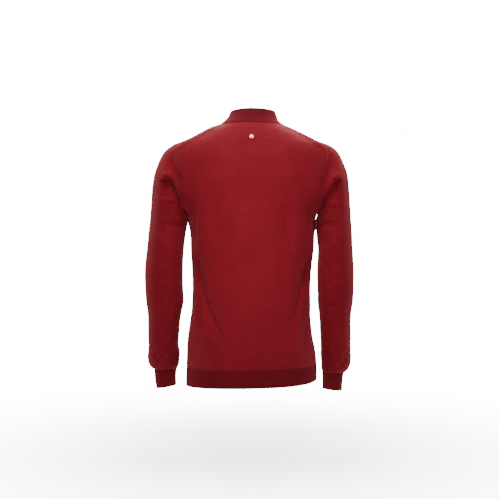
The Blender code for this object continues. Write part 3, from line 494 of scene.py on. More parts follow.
def unit(vectors):
    """The same directions, with length 1."""
    return vectors / np.maximum(np.linalg.norm(vectors, axis=-1, keepdims=True), 1e-9)


def ease(t):
    """0 to 1, soft at both ends."""
    t = np.clip(t, 0.0, 1.0)
    return t * t * (3 - 2 * t)


def fold_lift(folds, facing, x, z):
    """How far the folds move the cloth out, for points at x and z on the back or the front."""
    total = np.zeros(np.shape(x))
    for side, top_x, top_z, low_x, low_z, bow, lift, reach in folds:
        run = np.array([low_x - top_x, low_z - top_z])
        length = math.hypot(*run)
        along_x, along_z = run / length
        along = ((x - top_x) * along_x + (z - top_z) * along_z) / length
        across = (x - top_x) * -along_z + (z - top_z) * along_x
        across = across - 4 * bow * np.clip(along, 0, 1) * (1 - np.clip(along, 0, 1))
        ends = ease(along / 0.25) * ease((1 - along) / 0.25)
        hump = np.clip(1 - (across / reach) ** 2, 0, None) ** 2
        total = total + lift * hump * ends * (facing * side > 0)
    return total


def torso(around, z):
    """The plain torso: a rounded section at each level. around is in degrees, 90 is the back."""
    turn = np.radians(around)
    across, deep = np.cos(turn), np.sin(turn)
    left, right, back, front, square = readings(TORSO, TORSO_COLUMNS, z)
    half = np.where(across >= 0, left, right)
    depth = np.where(deep >= 0, back, front)
    x = np.sign(across) * half * np.abs(across) ** (2 / square)
    y = np.sign(deep) * depth * np.abs(deep) ** (2 / square)
    return np.stack([x, y, z + 0 * x], axis=-1)


def facing_out(surface, first, second, first_step, second_step, sign):
    """The outward direction of a surface, from its points a little to each side."""
    one = surface(first + first_step, second) - surface(first - first_step, second)
    other = surface(first, second + second_step) - surface(first, second - second_step)
    return unit(sign * np.cross(one, other))


def body(around, z):
    """The torso with its folds."""
    around, z = np.broadcast_arrays(np.asarray(around, float), np.asarray(z, float))
    plain = torso(around, z)
    out = facing_out(torso, around, z, 0.4, 1.0, 1.0)
    deep = np.sin(np.radians(around))
    lift = fold_lift(BODY_FOLDS, np.sign(deep), plain[..., 0], plain[..., 2])
    return plain + out * (lift * ease(np.abs(deep) / 0.25))[..., None]


def body_out(around, z):
    """The outward direction of the folded torso."""
    return facing_out(body, np.asarray(around, float), np.asarray(z, float), 0.6, 2.0, 1.0)


def on_body(around, z):
    """Points of the folded torso and the outward directions there."""
    return body(around, z), body_out(around, z)


def spread(points, count):
    """Places on a polyline that cut its length into equal parts, as shares of its points."""
    lengths = np.linalg.norm(np.diff(points, axis=0), axis=1)
    run = np.concatenate([[0.0], np.cumsum(lengths)])
    return np.interp(np.linspace(0, run[-1], count + 1), run, np.arange(len(points)))


def evenly(around, z, count):
    """The angles and levels that cut a line on the torso into equal lengths."""
    picks = spread(torso(around, z), count)
    places = np.arange(len(around))
    return np.interp(picks, places, around), np.interp(picks, places, z)


def armhole_edge(count, front):
    """The armhole's angles and levels, from the armpit to the shoulder seam, by back or front."""
    rows = list(ARMHOLE) + [ARMHOLE[0]]
    turns = column(rows, ARMHOLE_COLUMNS, "around")
    levels = column(rows, ARMHOLE_COLUMNS, "z")
    order = list(range(len(rows)))
    fine = np.linspace(order[-1] if front else 0, ARMHOLE_SEAM_ROW, EDGE_SAMPLES)
    return evenly(smooth_through(order, turns, fine), smooth_through(order, levels, fine), count)


def shoulder_edge(count):
    """The shoulder seam's angles and levels, from the armhole to the collar."""
    z = np.linspace(SHOULDER[0][0], SHOULDER[-1][0], LINE_SAMPLES)
    return evenly(reading(SHOULDER, SHOULDER_NAMES, "around", z), z, count)


def neck_level(around):
    """The level of the neckline at an angle from -90 in front to 270 in front again."""
    folded = np.where(around > 90, 180 - around, around)
    return reading(NECKLINE, NECKLINE_COLUMNS, "z", folded)


def neck_edge(count, front):
    """The neckline's angles and levels, from a shoulder seam to the middle of a panel."""
    around = np.linspace(SHOULDER[-1][1], -90.0 if front else 90.0, LINE_SAMPLES)
    return evenly(around, neck_level(around), count)


def panel_top(finer, front):
    """The top edge of a panel, from one armhole over the neck to the other."""
    half = sum(FRONT_COLUMNS if front else BACK_COLUMNS)
    turn_back = -180.0 if front else 180.0
    seam_around, seam_z = shoulder_edge(SHOULDER_COLUMNS * finer)
    neck_around, neck_z = neck_edge((half - SHOULDER_COLUMNS) * finer, front)
    around = np.concatenate([seam_around, neck_around[1:]])
    z = np.concatenate([seam_z, neck_z[1:]])
    return np.concatenate([around, turn_back - around[-2::-1]]), np.concatenate([z, z[-2::-1]])


def unwound(angles, turn_back):
    """Angles past the far side seam, counted on from it and not from the near one."""
    return np.where(angles * turn_back < -50.0 * 180.0, angles + 2 * turn_back, angles)


def torso_angle(x, y, z):
    """The angle on the torso of a point at its surface."""
    left, right, back, front, square = readings(TORSO, TORSO_COLUMNS, z)
    across = np.sign(x) * (np.abs(x) / np.where(x >= 0, left, right)) ** (square / 2)
    deep = np.sign(y) * (np.abs(y) / np.where(y >= 0, back, front)) ** (square / 2)
    return np.degrees(np.arctan2(deep, across)), np.hypot(across, deep) ** 2 - 1


def settled(flat, rounds):
    """Points moved straight on to the plain torso."""
    for _ in range(rounds):
        off = torso_angle(*flat.T)[1]
        slope = []
        for axis in np.eye(3):
            high = torso_angle(*(flat + axis * 0.5).T)[1]
            low = torso_angle(*(flat - axis * 0.5).T)[1]
            slope.append(high - low)
        slope = np.array(slope).T
        flat = flat - slope * (0.9 * off / np.sum(slope * slope, axis=1))[:, None]
    return flat


def evened(points):
    """A grid on the torso with its inner points spaced evenly and its edges kept."""
    for turn in range(GRID_ROUNDS):
        inner = points[2:, 1:-1] + points[:-2, 1:-1] + points[1:-1, 2:] + points[1:-1, :-2]
        flat = settled((inner / 4).reshape(-1, 3), 12 if turn == GRID_ROUNDS - 1 else 3)
        points[1:-1, 1:-1] = flat.reshape(inner.shape)
    return points


def fold_angle(fold, z):
    """The angle of a long fold's line at a level, held within limits."""
    side, top_x, top_z, low_x, low_z, bow = fold[:6]
    along = np.clip((z - top_z) / (low_z - top_z), 0, 1)
    x = top_x + (low_x - top_x) * along + np.sign(top_x) * 4 * bow * along * (1 - along)
    half = reading(TORSO, TORSO_COLUMNS, "left" if top_x > 0 else "right", z)
    square = reading(TORSO, TORSO_COLUMNS, "square", z)
    share = np.clip(np.abs(x) / half, 0, 1) ** (square / 2)
    return np.clip(np.degrees(np.arccos(share)), *FOLD_ANGLES)


def panel_angles(front, z):
    """The angles of a panel's columns at a level, from the left side seam to the right."""
    side, band, middle = FRONT_COLUMNS if front else BACK_COLUMNS
    facing = -1 if front else 1
    long_folds = [fold for fold in BODY_FOLDS if fold[0] == facing and fold[6] < -5]
    halves = []
    for sign in (1, -1):
        fold = [f for f in long_folds if f[1] * sign > 0][0]
        centre = float(fold_angle(fold, np.array(z)))
        knots = (0, side, side + band, side + band + middle)
        places = (0.0, centre - FOLD_BAND, centre + FOLD_BAND, 90.0)
        halves.append(np.interp(np.arange(knots[-1] + 1), knots, places))
    return facing * np.concatenate([halves[0], 180.0 - halves[1][-2::-1]])


def panel_grid(front):
    """The angles and levels of all the points of the back or the front, row by row from the hem."""
    armpit_z = ARMHOLE[0][1]
    columns = panel_angles(front, armpit_z)
    dip = ARMPIT_DIP * (1 - np.exp(-np.abs(np.sin(np.radians(columns))) / 0.35))
    around, level = [], []
    for i in range(SIDE_ROWS + 1):
        share = i / SIDE_ROWS
        row = panel_angles(front, HEM_LEVEL * (1 - share) + armpit_z * share)
        hem = reading(HEM, HEM_COLUMNS, "seam", torso(row, np.full(len(row), HEM_LEVEL))[:, 0])
        around.append(row)
        level.append(hem * (1 - share) + (armpit_z - dip) * share)
    count = FRONT_ARMHOLE_ROWS if front else BACK_ARMHOLE_ROWS
    turn_back = -180.0 if front else 180.0
    edge_around, edge_z = armhole_edge(count, front)
    top_around, top_z = panel_top(1, front)
    low = torso(around[-1], level[-1])
    top = torso(top_around, top_z)
    left = torso(edge_around, edge_z)
    right = torso(turn_back - edge_around, edge_z)
    run = np.concatenate([[0.0], np.cumsum(np.linalg.norm(np.diff(low, axis=0), axis=1))])
    shares = (run / run[-1])[:, None]
    points = [torso(around[-2], level[-2])]
    for k in range(count + 1):
        t = k / count
        sides = (1 - shares) * left[k] + shares * right[k]
        ends = (1 - t) * low + t * top
        near = (1 - t) * low[0] + t * top[0]
        far = (1 - t) * low[-1] + t * top[-1]
        points.append(sides + ends - (1 - shares) * near - shares * far)
    points = evened(np.array(points))
    found = unwound(torso_angle(*np.moveaxis(points, -1, 0))[0], turn_back)
    z = points[..., 2]
    around[-1][1:-1], level[-1][1:-1] = found[1, 1:-1], z[1, 1:-1]
    for k in range(1, count):
        ends = edge_around[k], turn_back - edge_around[k]
        around.append(np.concatenate([ends[:1], found[k + 1, 1:-1], ends[1:]]))
        level.append(np.concatenate([[edge_z[k]], z[k + 1, 1:-1], [edge_z[k]]]))
    around.append(top_around)
    level.append(top_z)
    return np.array(around), np.array(level)


def sleeve_rows(table, at):
    """The outer point, inner point and depths of the sleeve's rings at places in its table."""
    places = list(range(len(table)))
    return [smooth_through(places, column(table, SLEEVE_COLUMNS, name), at) for name in SLEEVE_COLUMNS]


def tube(table, turn, at):
    """A ring point of a sleeve or cuff on the left side. turn is in degrees, 90 is the back."""
    out_x, out_z, in_x, in_z, back, front = sleeve_rows(table, at)
    across, deep = np.cos(np.radians(turn)), np.sin(np.radians(turn))
    x = (out_x + in_x) / 2 + (out_x - in_x) / 2 * across
    z = (out_z + in_z) / 2 + (out_z - in_z) / 2 * across
    y = (back + front) / 2 + (back - front) / 2 * deep
    return np.stack([x, y, z], axis=-1)


def crease_shift(crease, x, z):
    """How far behind the armhole the sleeve is set in, for points at x and z."""
    best = np.full(np.shape(x), 1e9)
    signed = np.zeros(np.shape(x))
    for (x0, z0), (x1, z1) in zip(crease, crease[1:]):
        run_x, run_z = x1 - x0, z1 - z0
        length = math.hypot(run_x, run_z)
        t = np.clip(((x - x0) * run_x + (z - z0) * run_z) / length**2, 0, 1)
        away = np.hypot(x - x0 - t * run_x, z - z0 - t * run_z)
        cross = ((x - x0) * run_z - (z - z0) * run_x) / length
        signed = np.where(away < best, np.where(cross < 0, away, -away), signed)
        best = np.minimum(away, best)
    outer_end = ease((crease[0][0] - x) / CREASE_OUTER_FADE)
    under = ease(signed / CREASE_STEP) * (1 - ease((signed - CREASE_STEP) / CREASE_FADE))
    over = np.clip(1 - ((signed + OVERHANG_MIDDLE) / OVERHANG_REACH) ** 2, 0, None) ** 2
    return (OVERHANG * over - CREASE_DEPTH * under) * outer_end


def mirrored(points, side):
    """Left-hand points, or their mirror image for the right side."""
    return points * np.array([side, 1.0, 1.0])


def sleeve_loop(side):
    """The armhole's points, outward directions and directions into the sleeve, from the armpit."""
    back_around, back_z = armhole_edge(BACK_ARMHOLE_ROWS * FINE, False)
    front_around, front_z = armhole_edge(FRONT_ARMHOLE_ROWS * FINE, True)
    around = np.concatenate([back_around, front_around[-2:0:-1]])
    z = np.concatenate([back_z, front_z[-2:0:-1]])
    if side < 0:
        around = 180.0 - around
    points, out = on_body(around, z)
    ahead = np.roll(points, -1, axis=0) - np.roll(points, 1, axis=0)
    into = unit(np.cross(out, ahead)) * side
    return mirrored(points, side), mirrored(out, side), mirrored(into, side)


def sleeve_grid(side):
    """The points of a sleeve's outside, ring by ring, and the outward directions there."""
    table = SLEEVE_LEFT if side > 0 else SLEEVE_RIGHT
    crease = CREASE_LEFT if side > 0 else CREASE_RIGHT
    folds = LEFT_SLEEVE_FOLDS if side > 0 else RIGHT_SLEEVE_FOLDS
    loop, loop_out, into = sleeve_loop(side)
    out_x, out_z, in_x, in_z, back, front = table[0]
    axis = np.array([out_x - in_x, out_z - in_z]) / 2
    middle = np.array([out_x + in_x, out_z + in_z]) / 2
    along = ((loop[:, 0] - middle[0]) * axis[0] + (loop[:, 2] - middle[1]) * axis[1]) / (axis @ axis)
    deep = (loop[:, 1] - (back + front) / 2) / ((back - front) / 2)
    start = np.degrees(np.unwrap(np.arctan2(deep, along)))
    even = start[0] + np.linspace(0, 360, len(loop), endpoint=False) * np.sign(start[-1] - start[0])

    def surface(share, at):
        turn = (1 - ease(at / 7)) * turns(start, share) + ease(at / 7) * turns(even, share)
        first = turns(start, share)
        tube_0 = tube(table, first, np.zeros(np.shape(at)))
        speed_0 = (tube(table, first, np.full(np.shape(at), 0.02)) - tube_0) / 0.02
        pace = np.maximum(np.linalg.norm(speed_0, axis=-1, keepdims=True), 4.0)
        t = np.clip(at / SLEEVE_SET_IN, 0, 1)[..., None]
        hold = (1 + 2 * t) * (1 - t) ** 2
        lead = t * (1 - t) ** 2 * SLEEVE_SET_IN
        point = tube(table, turn, at)
        point = point + hold * (rounds(loop, share) - tube_0)
        point = point + lead * (rounds(into, share) * pace - speed_0)
        facing = np.sign(np.sin(np.radians(turn)))
        shift = fold_lift(folds, facing, point[..., 0], point[..., 2])
        behind = np.clip(np.sin(np.radians(turn)), 0, 1)
        ends = ease(at / 1.0) * ease((16 - at) / 1.5)
        set_in = crease_shift(crease, point[..., 0], point[..., 2]) * ease(behind / 0.35)
        outward = np.stack([np.cos(np.radians(turn)), np.sin(np.radians(turn)), 0 * turn], axis=-1)
        point = point + outward * (shift * ends)[..., None]
        return point + np.array([0.0, 1.0, 0.0]) * (set_in * ends)[..., None]

    shares = np.arange(len(loop), dtype=float)
    rows = [loop + into * SEAM_GAP]
    outs = [loop_out]
    for at in even_places(table, len(table) - 1.0, SLEEVE_ROW):
        level = np.full(len(loop), at)
        rows.append(surface(shares, level))
        outs.append(facing_out(surface, shares, level, 0.8, 0.05, 1.0))
    rows, outs = np.array(rows), np.array(outs)
    centre = rows.mean(axis=1, keepdims=True)
    if np.mean(np.sum((rows - centre) * outs, axis=-1)[1:]) < 0:
        outs[1:] = -outs[1:]
    return rows, outs


def turns(angles, share):
    """Angles of a ring at fractional places, going on past the last point."""
    count = len(angles)
    whole = np.sign(angles[-1] - angles[0]) * 360.0
    longer = np.concatenate([angles - whole, angles, angles + whole])
    return np.interp(share, np.arange(-count, 2 * count), longer)


def on_line(places, values, at):
    """Straight-line values between the corners of a line."""
    return np.stack([np.interp(at, places, axis) for axis in values.T], axis=-1)


def rounds(points, share):
    """Points of a closed ring at fractional places."""
    return on_ring(np.arange(len(points)), points, share, len(points))


def mitre(first, second):
    """The shared direction of two walls at a seam, long enough to keep their thickness."""
    both = unit(first + second)
    return both / np.maximum(np.sum(both * unit(first), axis=-1, keepdims=True), 0.55)


def seam_shift(points, outs, inward):
    """How edge points move into their own piece to leave half of the seam gap."""
    away = unit(np.cross(np.gradient(points, axis=0), outs))
    toward = np.sign(np.sum(away * inward, axis=-1, keepdims=True))
    return away * toward * SEAM_GAP / 2


def collar_point(around, rise):
    """A point of the collar's outside above the neckline."""
    turn = np.radians(around)
    across, deep = np.cos(turn), np.sin(turn)
    left, right, back, front = readings(COLLAR, COLLAR_COLUMNS, rise)
    base_z = neck_level(around)
    folded = np.where(around > 90, 180 - around, around)
    top_z = reading(COLLAR_TOP, COLLAR_TOP_COLUMNS, "z", folded)
    x = np.where(across >= 0, left, right) * across
    y = np.where(deep >= 0, back, front) * deep
    point = np.stack([x, y, base_z + (top_z - base_z) * rise], axis=-1)
    base = torso(around, base_z)
    plain = np.stack([
        np.where(across >= 0, COLLAR[0][1], COLLAR[0][2]) * across,
        np.where(deep >= 0, COLLAR[0][3], COLLAR[0][4]) * deep,
        base_z,
    ], axis=-1)
    settle = (1 - ease(rise / 0.6))[..., None]
    return point + (base - plain) * settle


def collar_out(around, rise):
    """The outward direction of the collar."""
    around = np.asarray(around, float)
    rise = np.asarray(rise, float)
    return facing_out(collar_point, around, np.clip(rise, 0.02, 0.98), 0.6, 0.02, 1.0)


def neck_ring():
    """The neckline's corner points as the panels have them, all round, with shared directions."""
    half_back = sum(BACK_COLUMNS) - SHOULDER_COLUMNS
    half_front = sum(FRONT_COLUMNS) - SHOULDER_COLUMNS
    back_around, _ = neck_edge(half_back, False)
    front_around, _ = neck_edge(half_front, True)
    left = np.concatenate([front_around[::-1], back_around[1:]])
    around = np.concatenate([left, 180.0 - left[-2:0:-1]])
    z = neck_level(around)
    points, outs = on_body(around, z)
    return around, points, mitre(outs, collar_out(around, np.zeros(len(around))))


def on_ring(places, values, at, whole):
    """Straight-line values between the corners of a closed ring that is whole places long."""
    longer = np.concatenate([places - whole, places, places + whole])
    return on_line(longer, np.tile(values, (3, 1)), at)


def smooth_weights(coarse, finer):
    """Weights that read evenly spaced points on a smooth curve at finer steps."""
    places = np.arange((coarse - 1) * finer + 1) / finer
    start = np.minimum(places.astype(int), coarse - 2)
    t = places - start
    parts = (
        -0.5 * t + t**2 - 0.5 * t**3,
        1 - 2.5 * t**2 + 1.5 * t**3,
        0.5 * t + 2 * t**2 - 1.5 * t**3,
        -0.5 * t**2 + 0.5 * t**3,
    )
    weights = np.zeros((len(places), coarse + 2))
    for step, part in enumerate(parts):
        weights[np.arange(len(places)), start + step] += part
    weights[:, 1] += 2 * weights[:, 0]
    weights[:, 2] -= weights[:, 0]
    weights[:, -2] += 2 * weights[:, -1]
    weights[:, -3] -= weights[:, -1]
    return weights[:, 1:-1]


def fine_panel(front):
    """The points of a panel's outside, FINE times as many each way as in its solid."""
    around, z = panel_grid(front)
    rows, cols = around.shape
    points = np.einsum(
        "ia,abk,jb->ijk", smooth_weights(rows, FINE), torso(around, z), smooth_weights(cols, FINE))
    count = FRONT_ARMHOLE_ROWS if front else BACK_ARMHOLE_ROWS
    turn_back = -180.0 if front else 180.0
    low = SIDE_ROWS * FINE
    edge_around, edge_z = armhole_edge(count * FINE, front)
    top_around, top_z = panel_top(FINE, front)
    left = torso(edge_around, edge_z) - points[low:, 0]
    right = torso(turn_back - edge_around, edge_z) - points[low:, -1]
    for k in range(FINE):
        points[low:, k] += left * (1 - k / FINE)
        points[low:, -1 - k] += right * (1 - k / FINE)
    top = torso(top_around, top_z) - points[-1]
    for k in range(FINE):
        points[-1 - k] += top * (1 - k / FINE)
    flat = settled(points.reshape(-1, 3), 6)
    found = unwound(torso_angle(*flat.T)[0].reshape(points.shape[:2]), turn_back)
    level = flat[:, 2].reshape(points.shape[:2])
    found[:low + 1, 0], found[:low + 1, -1] = 0.0, turn_back
    level[0] = reading(HEM, HEM_COLUMNS, "seam", flat[:points.shape[1], 0])
    found[low:, 0], level[low:, 0] = edge_around, edge_z
    found[low:, -1], level[low:, -1] = turn_back - edge_around, edge_z
    found[-1], level[-1] = top_around, top_z
    return found, level


def even_places(table, last, step):
    """Places in a sleeve's table that cut it into rows of nearly even height."""
    fine = np.linspace(0.0, last, 400)
    out_x, out_z, in_x, in_z, back, front = sleeve_rows(table, fine)
    run_out = np.hypot(np.gradient(out_x), np.gradient(out_z))
    run_in = np.hypot(np.gradient(in_x), np.gradient(in_z))
    run = np.cumsum(np.maximum(run_out, run_in))
    run = run - run[0]
    count = int(round(run[-1] / step))
    return np.interp(np.linspace(0, run[-1], count + 1), run, fine)[1:]


def cloth_lengths(points, middle, level):
    """How far each point lies along the cloth, across from the middle column and up from row 0.

    Rows of knit stay level on the body and follow the rings of a tube, and bend over the shoulders.
    """
    across = np.linalg.norm(np.diff(points, axis=1), axis=2)
    across = np.concatenate([np.zeros((len(points), 1)), np.cumsum(across, axis=1)], axis=1)
    across = across - across[:, middle:middle + 1]
    steps = np.linalg.norm(np.diff(points, axis=0), axis=2)
    if level:
        z = points[..., 2]
        over = ease((z[1:] - LEVEL_TOP) / 40.0)
        steps = over * steps + (1 - over) * np.diff(z, axis=0)
        along = np.concatenate([z[:1], z[:1] + np.cumsum(steps, axis=0)])
    else:
        rise = np.concatenate([[0.0], np.cumsum(steps.mean(axis=1))])
        along = np.repeat(rise[:, None], points.shape[1], axis=1)
    return np.stack([across, along], axis=-1)


def ruffled(points, outs, amount, size):
    """Points moved gently in and out, as knitted cloth never lies quite even."""
    places = [Vector(p) for p in points.reshape(-1, 3) / size]
    lift = np.array([noise.noise(p) + 0.5 * noise.noise(p * 2.3) for p in places])
    return points + outs * (amount * lift).reshape(points.shape[:2])[..., None]


def add_object(name, data):
    """A new object in the scene, at the origin."""
    thing = bpy.data.objects.new(name, data)
    bpy.context.collection.objects.link(thing)
    return thing


def as_mesh(name, shape):
    """A finished bmesh as mesh data."""
    mesh = bpy.data.meshes.new(name)
    shape.to_mesh(mesh)
    shape.free()
    return mesh


def set_uvs(mesh, lengths):
    """The cloth's own lengths, in metres, as the map that the knit is drawn on."""
    layer = mesh.uv_layers.new(name="cloth")
    corner = np.zeros(len(mesh.loops), dtype=np.int32)
    mesh.loops.foreach_get("vertex_index", corner)
    layer.data.foreach_set("uv", (lengths.reshape(-1, 2) * MM)[corner].ravel())


def cloth_piece(name, points, lengths, ring, band):
    """A piece made of a grid of points. ring joins its sides, band joins its first and last row."""
    if ring:
        width = np.linalg.norm(points[:, 0] - points[:, -1], axis=-1)
        points = np.concatenate([points, points[:, :1]], axis=1)
        last = lengths[:, -1:] + np.stack([width, 0 * width], axis=-1)[:, None]
        last[..., 1] = lengths[:, :1, 1]
        lengths = np.concatenate([lengths, last], axis=1)
    if band:
        height = np.linalg.norm(points[0] - points[-1], axis=-1)
        points = np.concatenate([points, points[:1]])
        last = lengths[-1:] + np.stack([0 * height, height], axis=-1)[None]
        lengths = np.concatenate([lengths, last])
    rows, cols = points.shape[:2]
    grid = bmesh.new()
    bmesh.ops.create_grid(grid, x_segments=cols - 1, y_segments=rows - 1, size=1.0)
    mesh = bpy.data.meshes.new(name)
    grid.to_mesh(mesh)
    mesh.vertices.foreach_set("co", (points.reshape(-1, 3) * MM).ravel())
    set_uvs(mesh, lengths)
    grid.clear()
    grid.from_mesh(mesh)
    bmesh.ops.remove_doubles(grid, verts=grid.verts, dist=WELD)
    if band and not ring:
        bmesh.ops.holes_fill(grid, edges=[e for e in grid.edges if e.is_boundary])
    grid.normal_update()
    middle = Vector(points.reshape(-1, 3).mean(axis=0)) * MM
    facing = sum((f.calc_center_median() - middle).dot(f.normal) * f.calc_area() for f in grid.faces)
    if facing < 0:
        bmesh.ops.reverse_faces(grid, faces=grid.faces)
    for face in grid.faces:
        face.smooth = True
    grid.to_mesh(mesh)
    grid.free()
    return add_object(name, mesh)


def give_thickness(piece, thick):
    """One thickness of cloth inwards, with its cut edges rounded over."""
    wall = piece.modifiers.new("thickness", "SOLIDIFY")
    wall.thickness = thick * MM
    wall.offset = -1.0
    wall.use_even_offset = True
    edge = piece.modifiers.new("edge", "BEVEL")
    edge.width = EDGE_ROUND * MM
    edge.segments = 2
    edge.limit_method = "ANGLE"
    edge.angle_limit = math.radians(60)


def wrapped(outer, outs, thick, ribs):
    """A band that goes down its outside, round its free edge and up its inside."""
    down = unit(outer[-1] - outer[-2])
    waves = 0.5 - 0.5 * np.cos(2 * np.pi * ribs)
    depth = np.linspace(0.6, 1.0, len(outer))
    shaped = outer - outs * (RIB_RAISE * waves[None, :] * depth[:, None])[..., None]
    core = (shaped[-1] + outer[-1] - outs[-1] * thick) / 2
    half = np.linalg.norm(shaped[-1] - core, axis=-1)[:, None]
    bend = []
    for angle in BAND_EDGE_ANGLES:
        bend.append(core + half * (outs[-1] * math.cos(angle) + down * math.sin(angle)))
    inner = (outer - outs * thick)[::-1]
    return np.concatenate([shaped, np.array(bend), inner])


def drawn_in(points, outs):
    """A panel's points with its edges let back by half a seam gap and drawn in at the seams."""
    moved = points.copy()
    edges = (
        ((slice(None), 0), (slice(None), 1)),
        ((slice(None), -1), (slice(None), -2)),
        ((0, slice(None)), (1, slice(None))),
        ((-1, slice(None)), (-2, slice(None))),
    )
    for edge, inward in edges:
        moved[edge] += unit(points[inward] - points[edge]) * SEAM_GAP / 2
        moved[edge] -= outs[edge] * SEAM_DIP
        moved[inward] -= outs[inward] * SEAM_DIP * 0.3
    return moved


def make_panel(node, front):
    """The back or the front, from the hem seam to the shoulder and neck."""
    around, z = fine_panel(front)
    points, outs = on_body(around, z)
    points = drawn_in(ruffled(points, outs, *BODY_RUFFLE), outs)
    lengths = cloth_lengths(points, points.shape[1] // 2, True)
    cloth = cloth_piece(node + "_cloth", points, lengths, False, False)
    give_thickness(cloth, CLOTH)
    dress(cloth, node, "knit")
    return cloth


def make_hem(node, front):
    """The ribbed band under the back or the front."""
    sign = -1.0 if front else 1.0
    cols = int(HEM_RIBS * RIB_FINER) * RIB_POINTS + 1
    fine = np.linspace(0.0, 180.0, RING_SAMPLES) * sign
    picks = evenly(fine, np.full(RING_SAMPLES, HEM_LEVEL), cols - 1)[0]
    seam, edge = readings(HEM, HEM_COLUMNS, torso(picks, np.full(cols, HEM_LEVEL))[:, 0])
    share = np.linspace(0.0, 1.0, HEM_ROWS)[:, None]
    level = seam * (1 - share) + (edge + RIB_CLOTH / 2) * share
    outer, outs = on_body(np.tile(picks, (HEM_ROWS, 1)), level)
    outer = ruffled(outer, outs, *BODY_RUFFLE)
    outer[0, :, 2] -= SEAM_GAP / 2
    outer[:, 0, 1] += sign * SEAM_GAP / 2
    outer[:, -1, 1] += sign * SEAM_GAP / 2
    points = wrapped(outer, outs, RIB_CLOTH, np.arange(cols) / RIB_POINTS)
    cloth = cloth_piece(node + "_band", points, cloth_lengths(points, cols // 2, False), False, True)
    dress(cloth, node, "rib_knit")
    return cloth


def make_sleeve(side, name):
    """A sleeve with its cuff."""
    outer, outs = sleeve_grid(side)
    centre = outer[-1].mean(axis=0)
    angle = np.degrees(np.arctan2(outer[-1, :, 1] - centre[1], outer[-1, :, 0] - centre[0]))
    turn = np.radians(angle)
    cuff_outs = np.stack([np.cos(turn), np.sin(turn), 0 * turn], axis=-1)
    shared = mitre(outs[-1], cuff_outs)
    outer[1:-1] = ruffled(outer, outs, *SLEEVE_RUFFLE)[1:-1]
    seam = outer[-1].copy()
    outer[-1, :, 2] += SEAM_GAP / 2
    outer[0] -= outs[0] * SEAM_DIP
    points = mirrored(outer, side)
    lengths = cloth_lengths(points, 0, False)
    cloth = cloth_piece("sleeve_" + name + "_cloth", points, lengths, True, False)
    give_thickness(cloth, CLOTH)
    dress(cloth, "sleeve_" + name, "knit")
    make_cuff(side, name, seam, shared, angle)
    return cloth


def make_cuff(side, name, seam, shared, angle):
    """A ribbed cuff under the last ring of its sleeve."""
    table = CUFF_LEFT if side > 0 else CUFF_RIGHT
    cols = int(CUFF_RIBS * RIB_FINER) * RIB_POINTS
    order = np.argsort(angle)
    fine = np.linspace(-180.0, 180.0, cols, endpoint=False)
    turn = np.radians(fine)
    top = on_ring(angle[order], seam[order], fine, 360.0) - np.array([0.0, 0.0, SEAM_GAP / 2])
    top_outs = on_ring(angle[order], shared[order], fine, 360.0)
    plain = np.stack([np.cos(turn), np.sin(turn), 0 * turn], axis=-1)
    start = tube(table, fine, np.zeros(cols))
    outer, outs = [], []
    for at in np.linspace(0.0, CUFF_END, CUFF_ROWS):
        settle = 1 - ease(at / 0.7)
        outer.append(tube(table, fine, np.full(cols, at)) + (top - start) * settle)
        outs.append(plain * (1 - settle) + top_outs * settle)
    points = wrapped(np.array(outer), np.array(outs), RIB_CLOTH, np.arange(cols) / RIB_POINTS)
    points = mirrored(points, side)
    cuff = cloth_piece("cuff_" + name + "_band", points, cloth_lengths(points, 0, False), True, True)
    dress(cuff, "cuff_" + name, "rib_knit")
    return cuff


def make_collar():
    """The stand collar, folded double, on the neckline."""
    ring_around, ring_points, ring_shared = neck_ring()
    cols = int(COLLAR_RIBS * RIB_FINER) * RIB_POINTS
    fine = np.linspace(-90.0, 270.0, RING_SAMPLES)
    picks = evenly(fine, neck_level(fine), cols)[0][:-1]
    base = on_ring(ring_around, ring_points, picks, 360.0)
    shared = on_ring(ring_around, ring_shared, picks, 360.0)
    up = np.tile([0.0, 0.0, 1.0], (cols, 1))
    outer, outs = [base + seam_shift(base, shared, up) - shared * SEAM_DIP], [shared]
    for rise in np.linspace(*COLLAR_ROWS):
        share = np.full(cols, rise)
        outer.append(collar_point(picks, share))
        outs.append(collar_out(picks, share))
    points = wrapped(np.array(outer), np.array(outs), COLLAR_CLOTH, np.arange(cols) / RIB_POINTS)
    collar = cloth_piece("collar_band", points, cloth_lengths(points, 0, False), True, True)
    dress(collar, "collar", "collar_knit")
    return collar


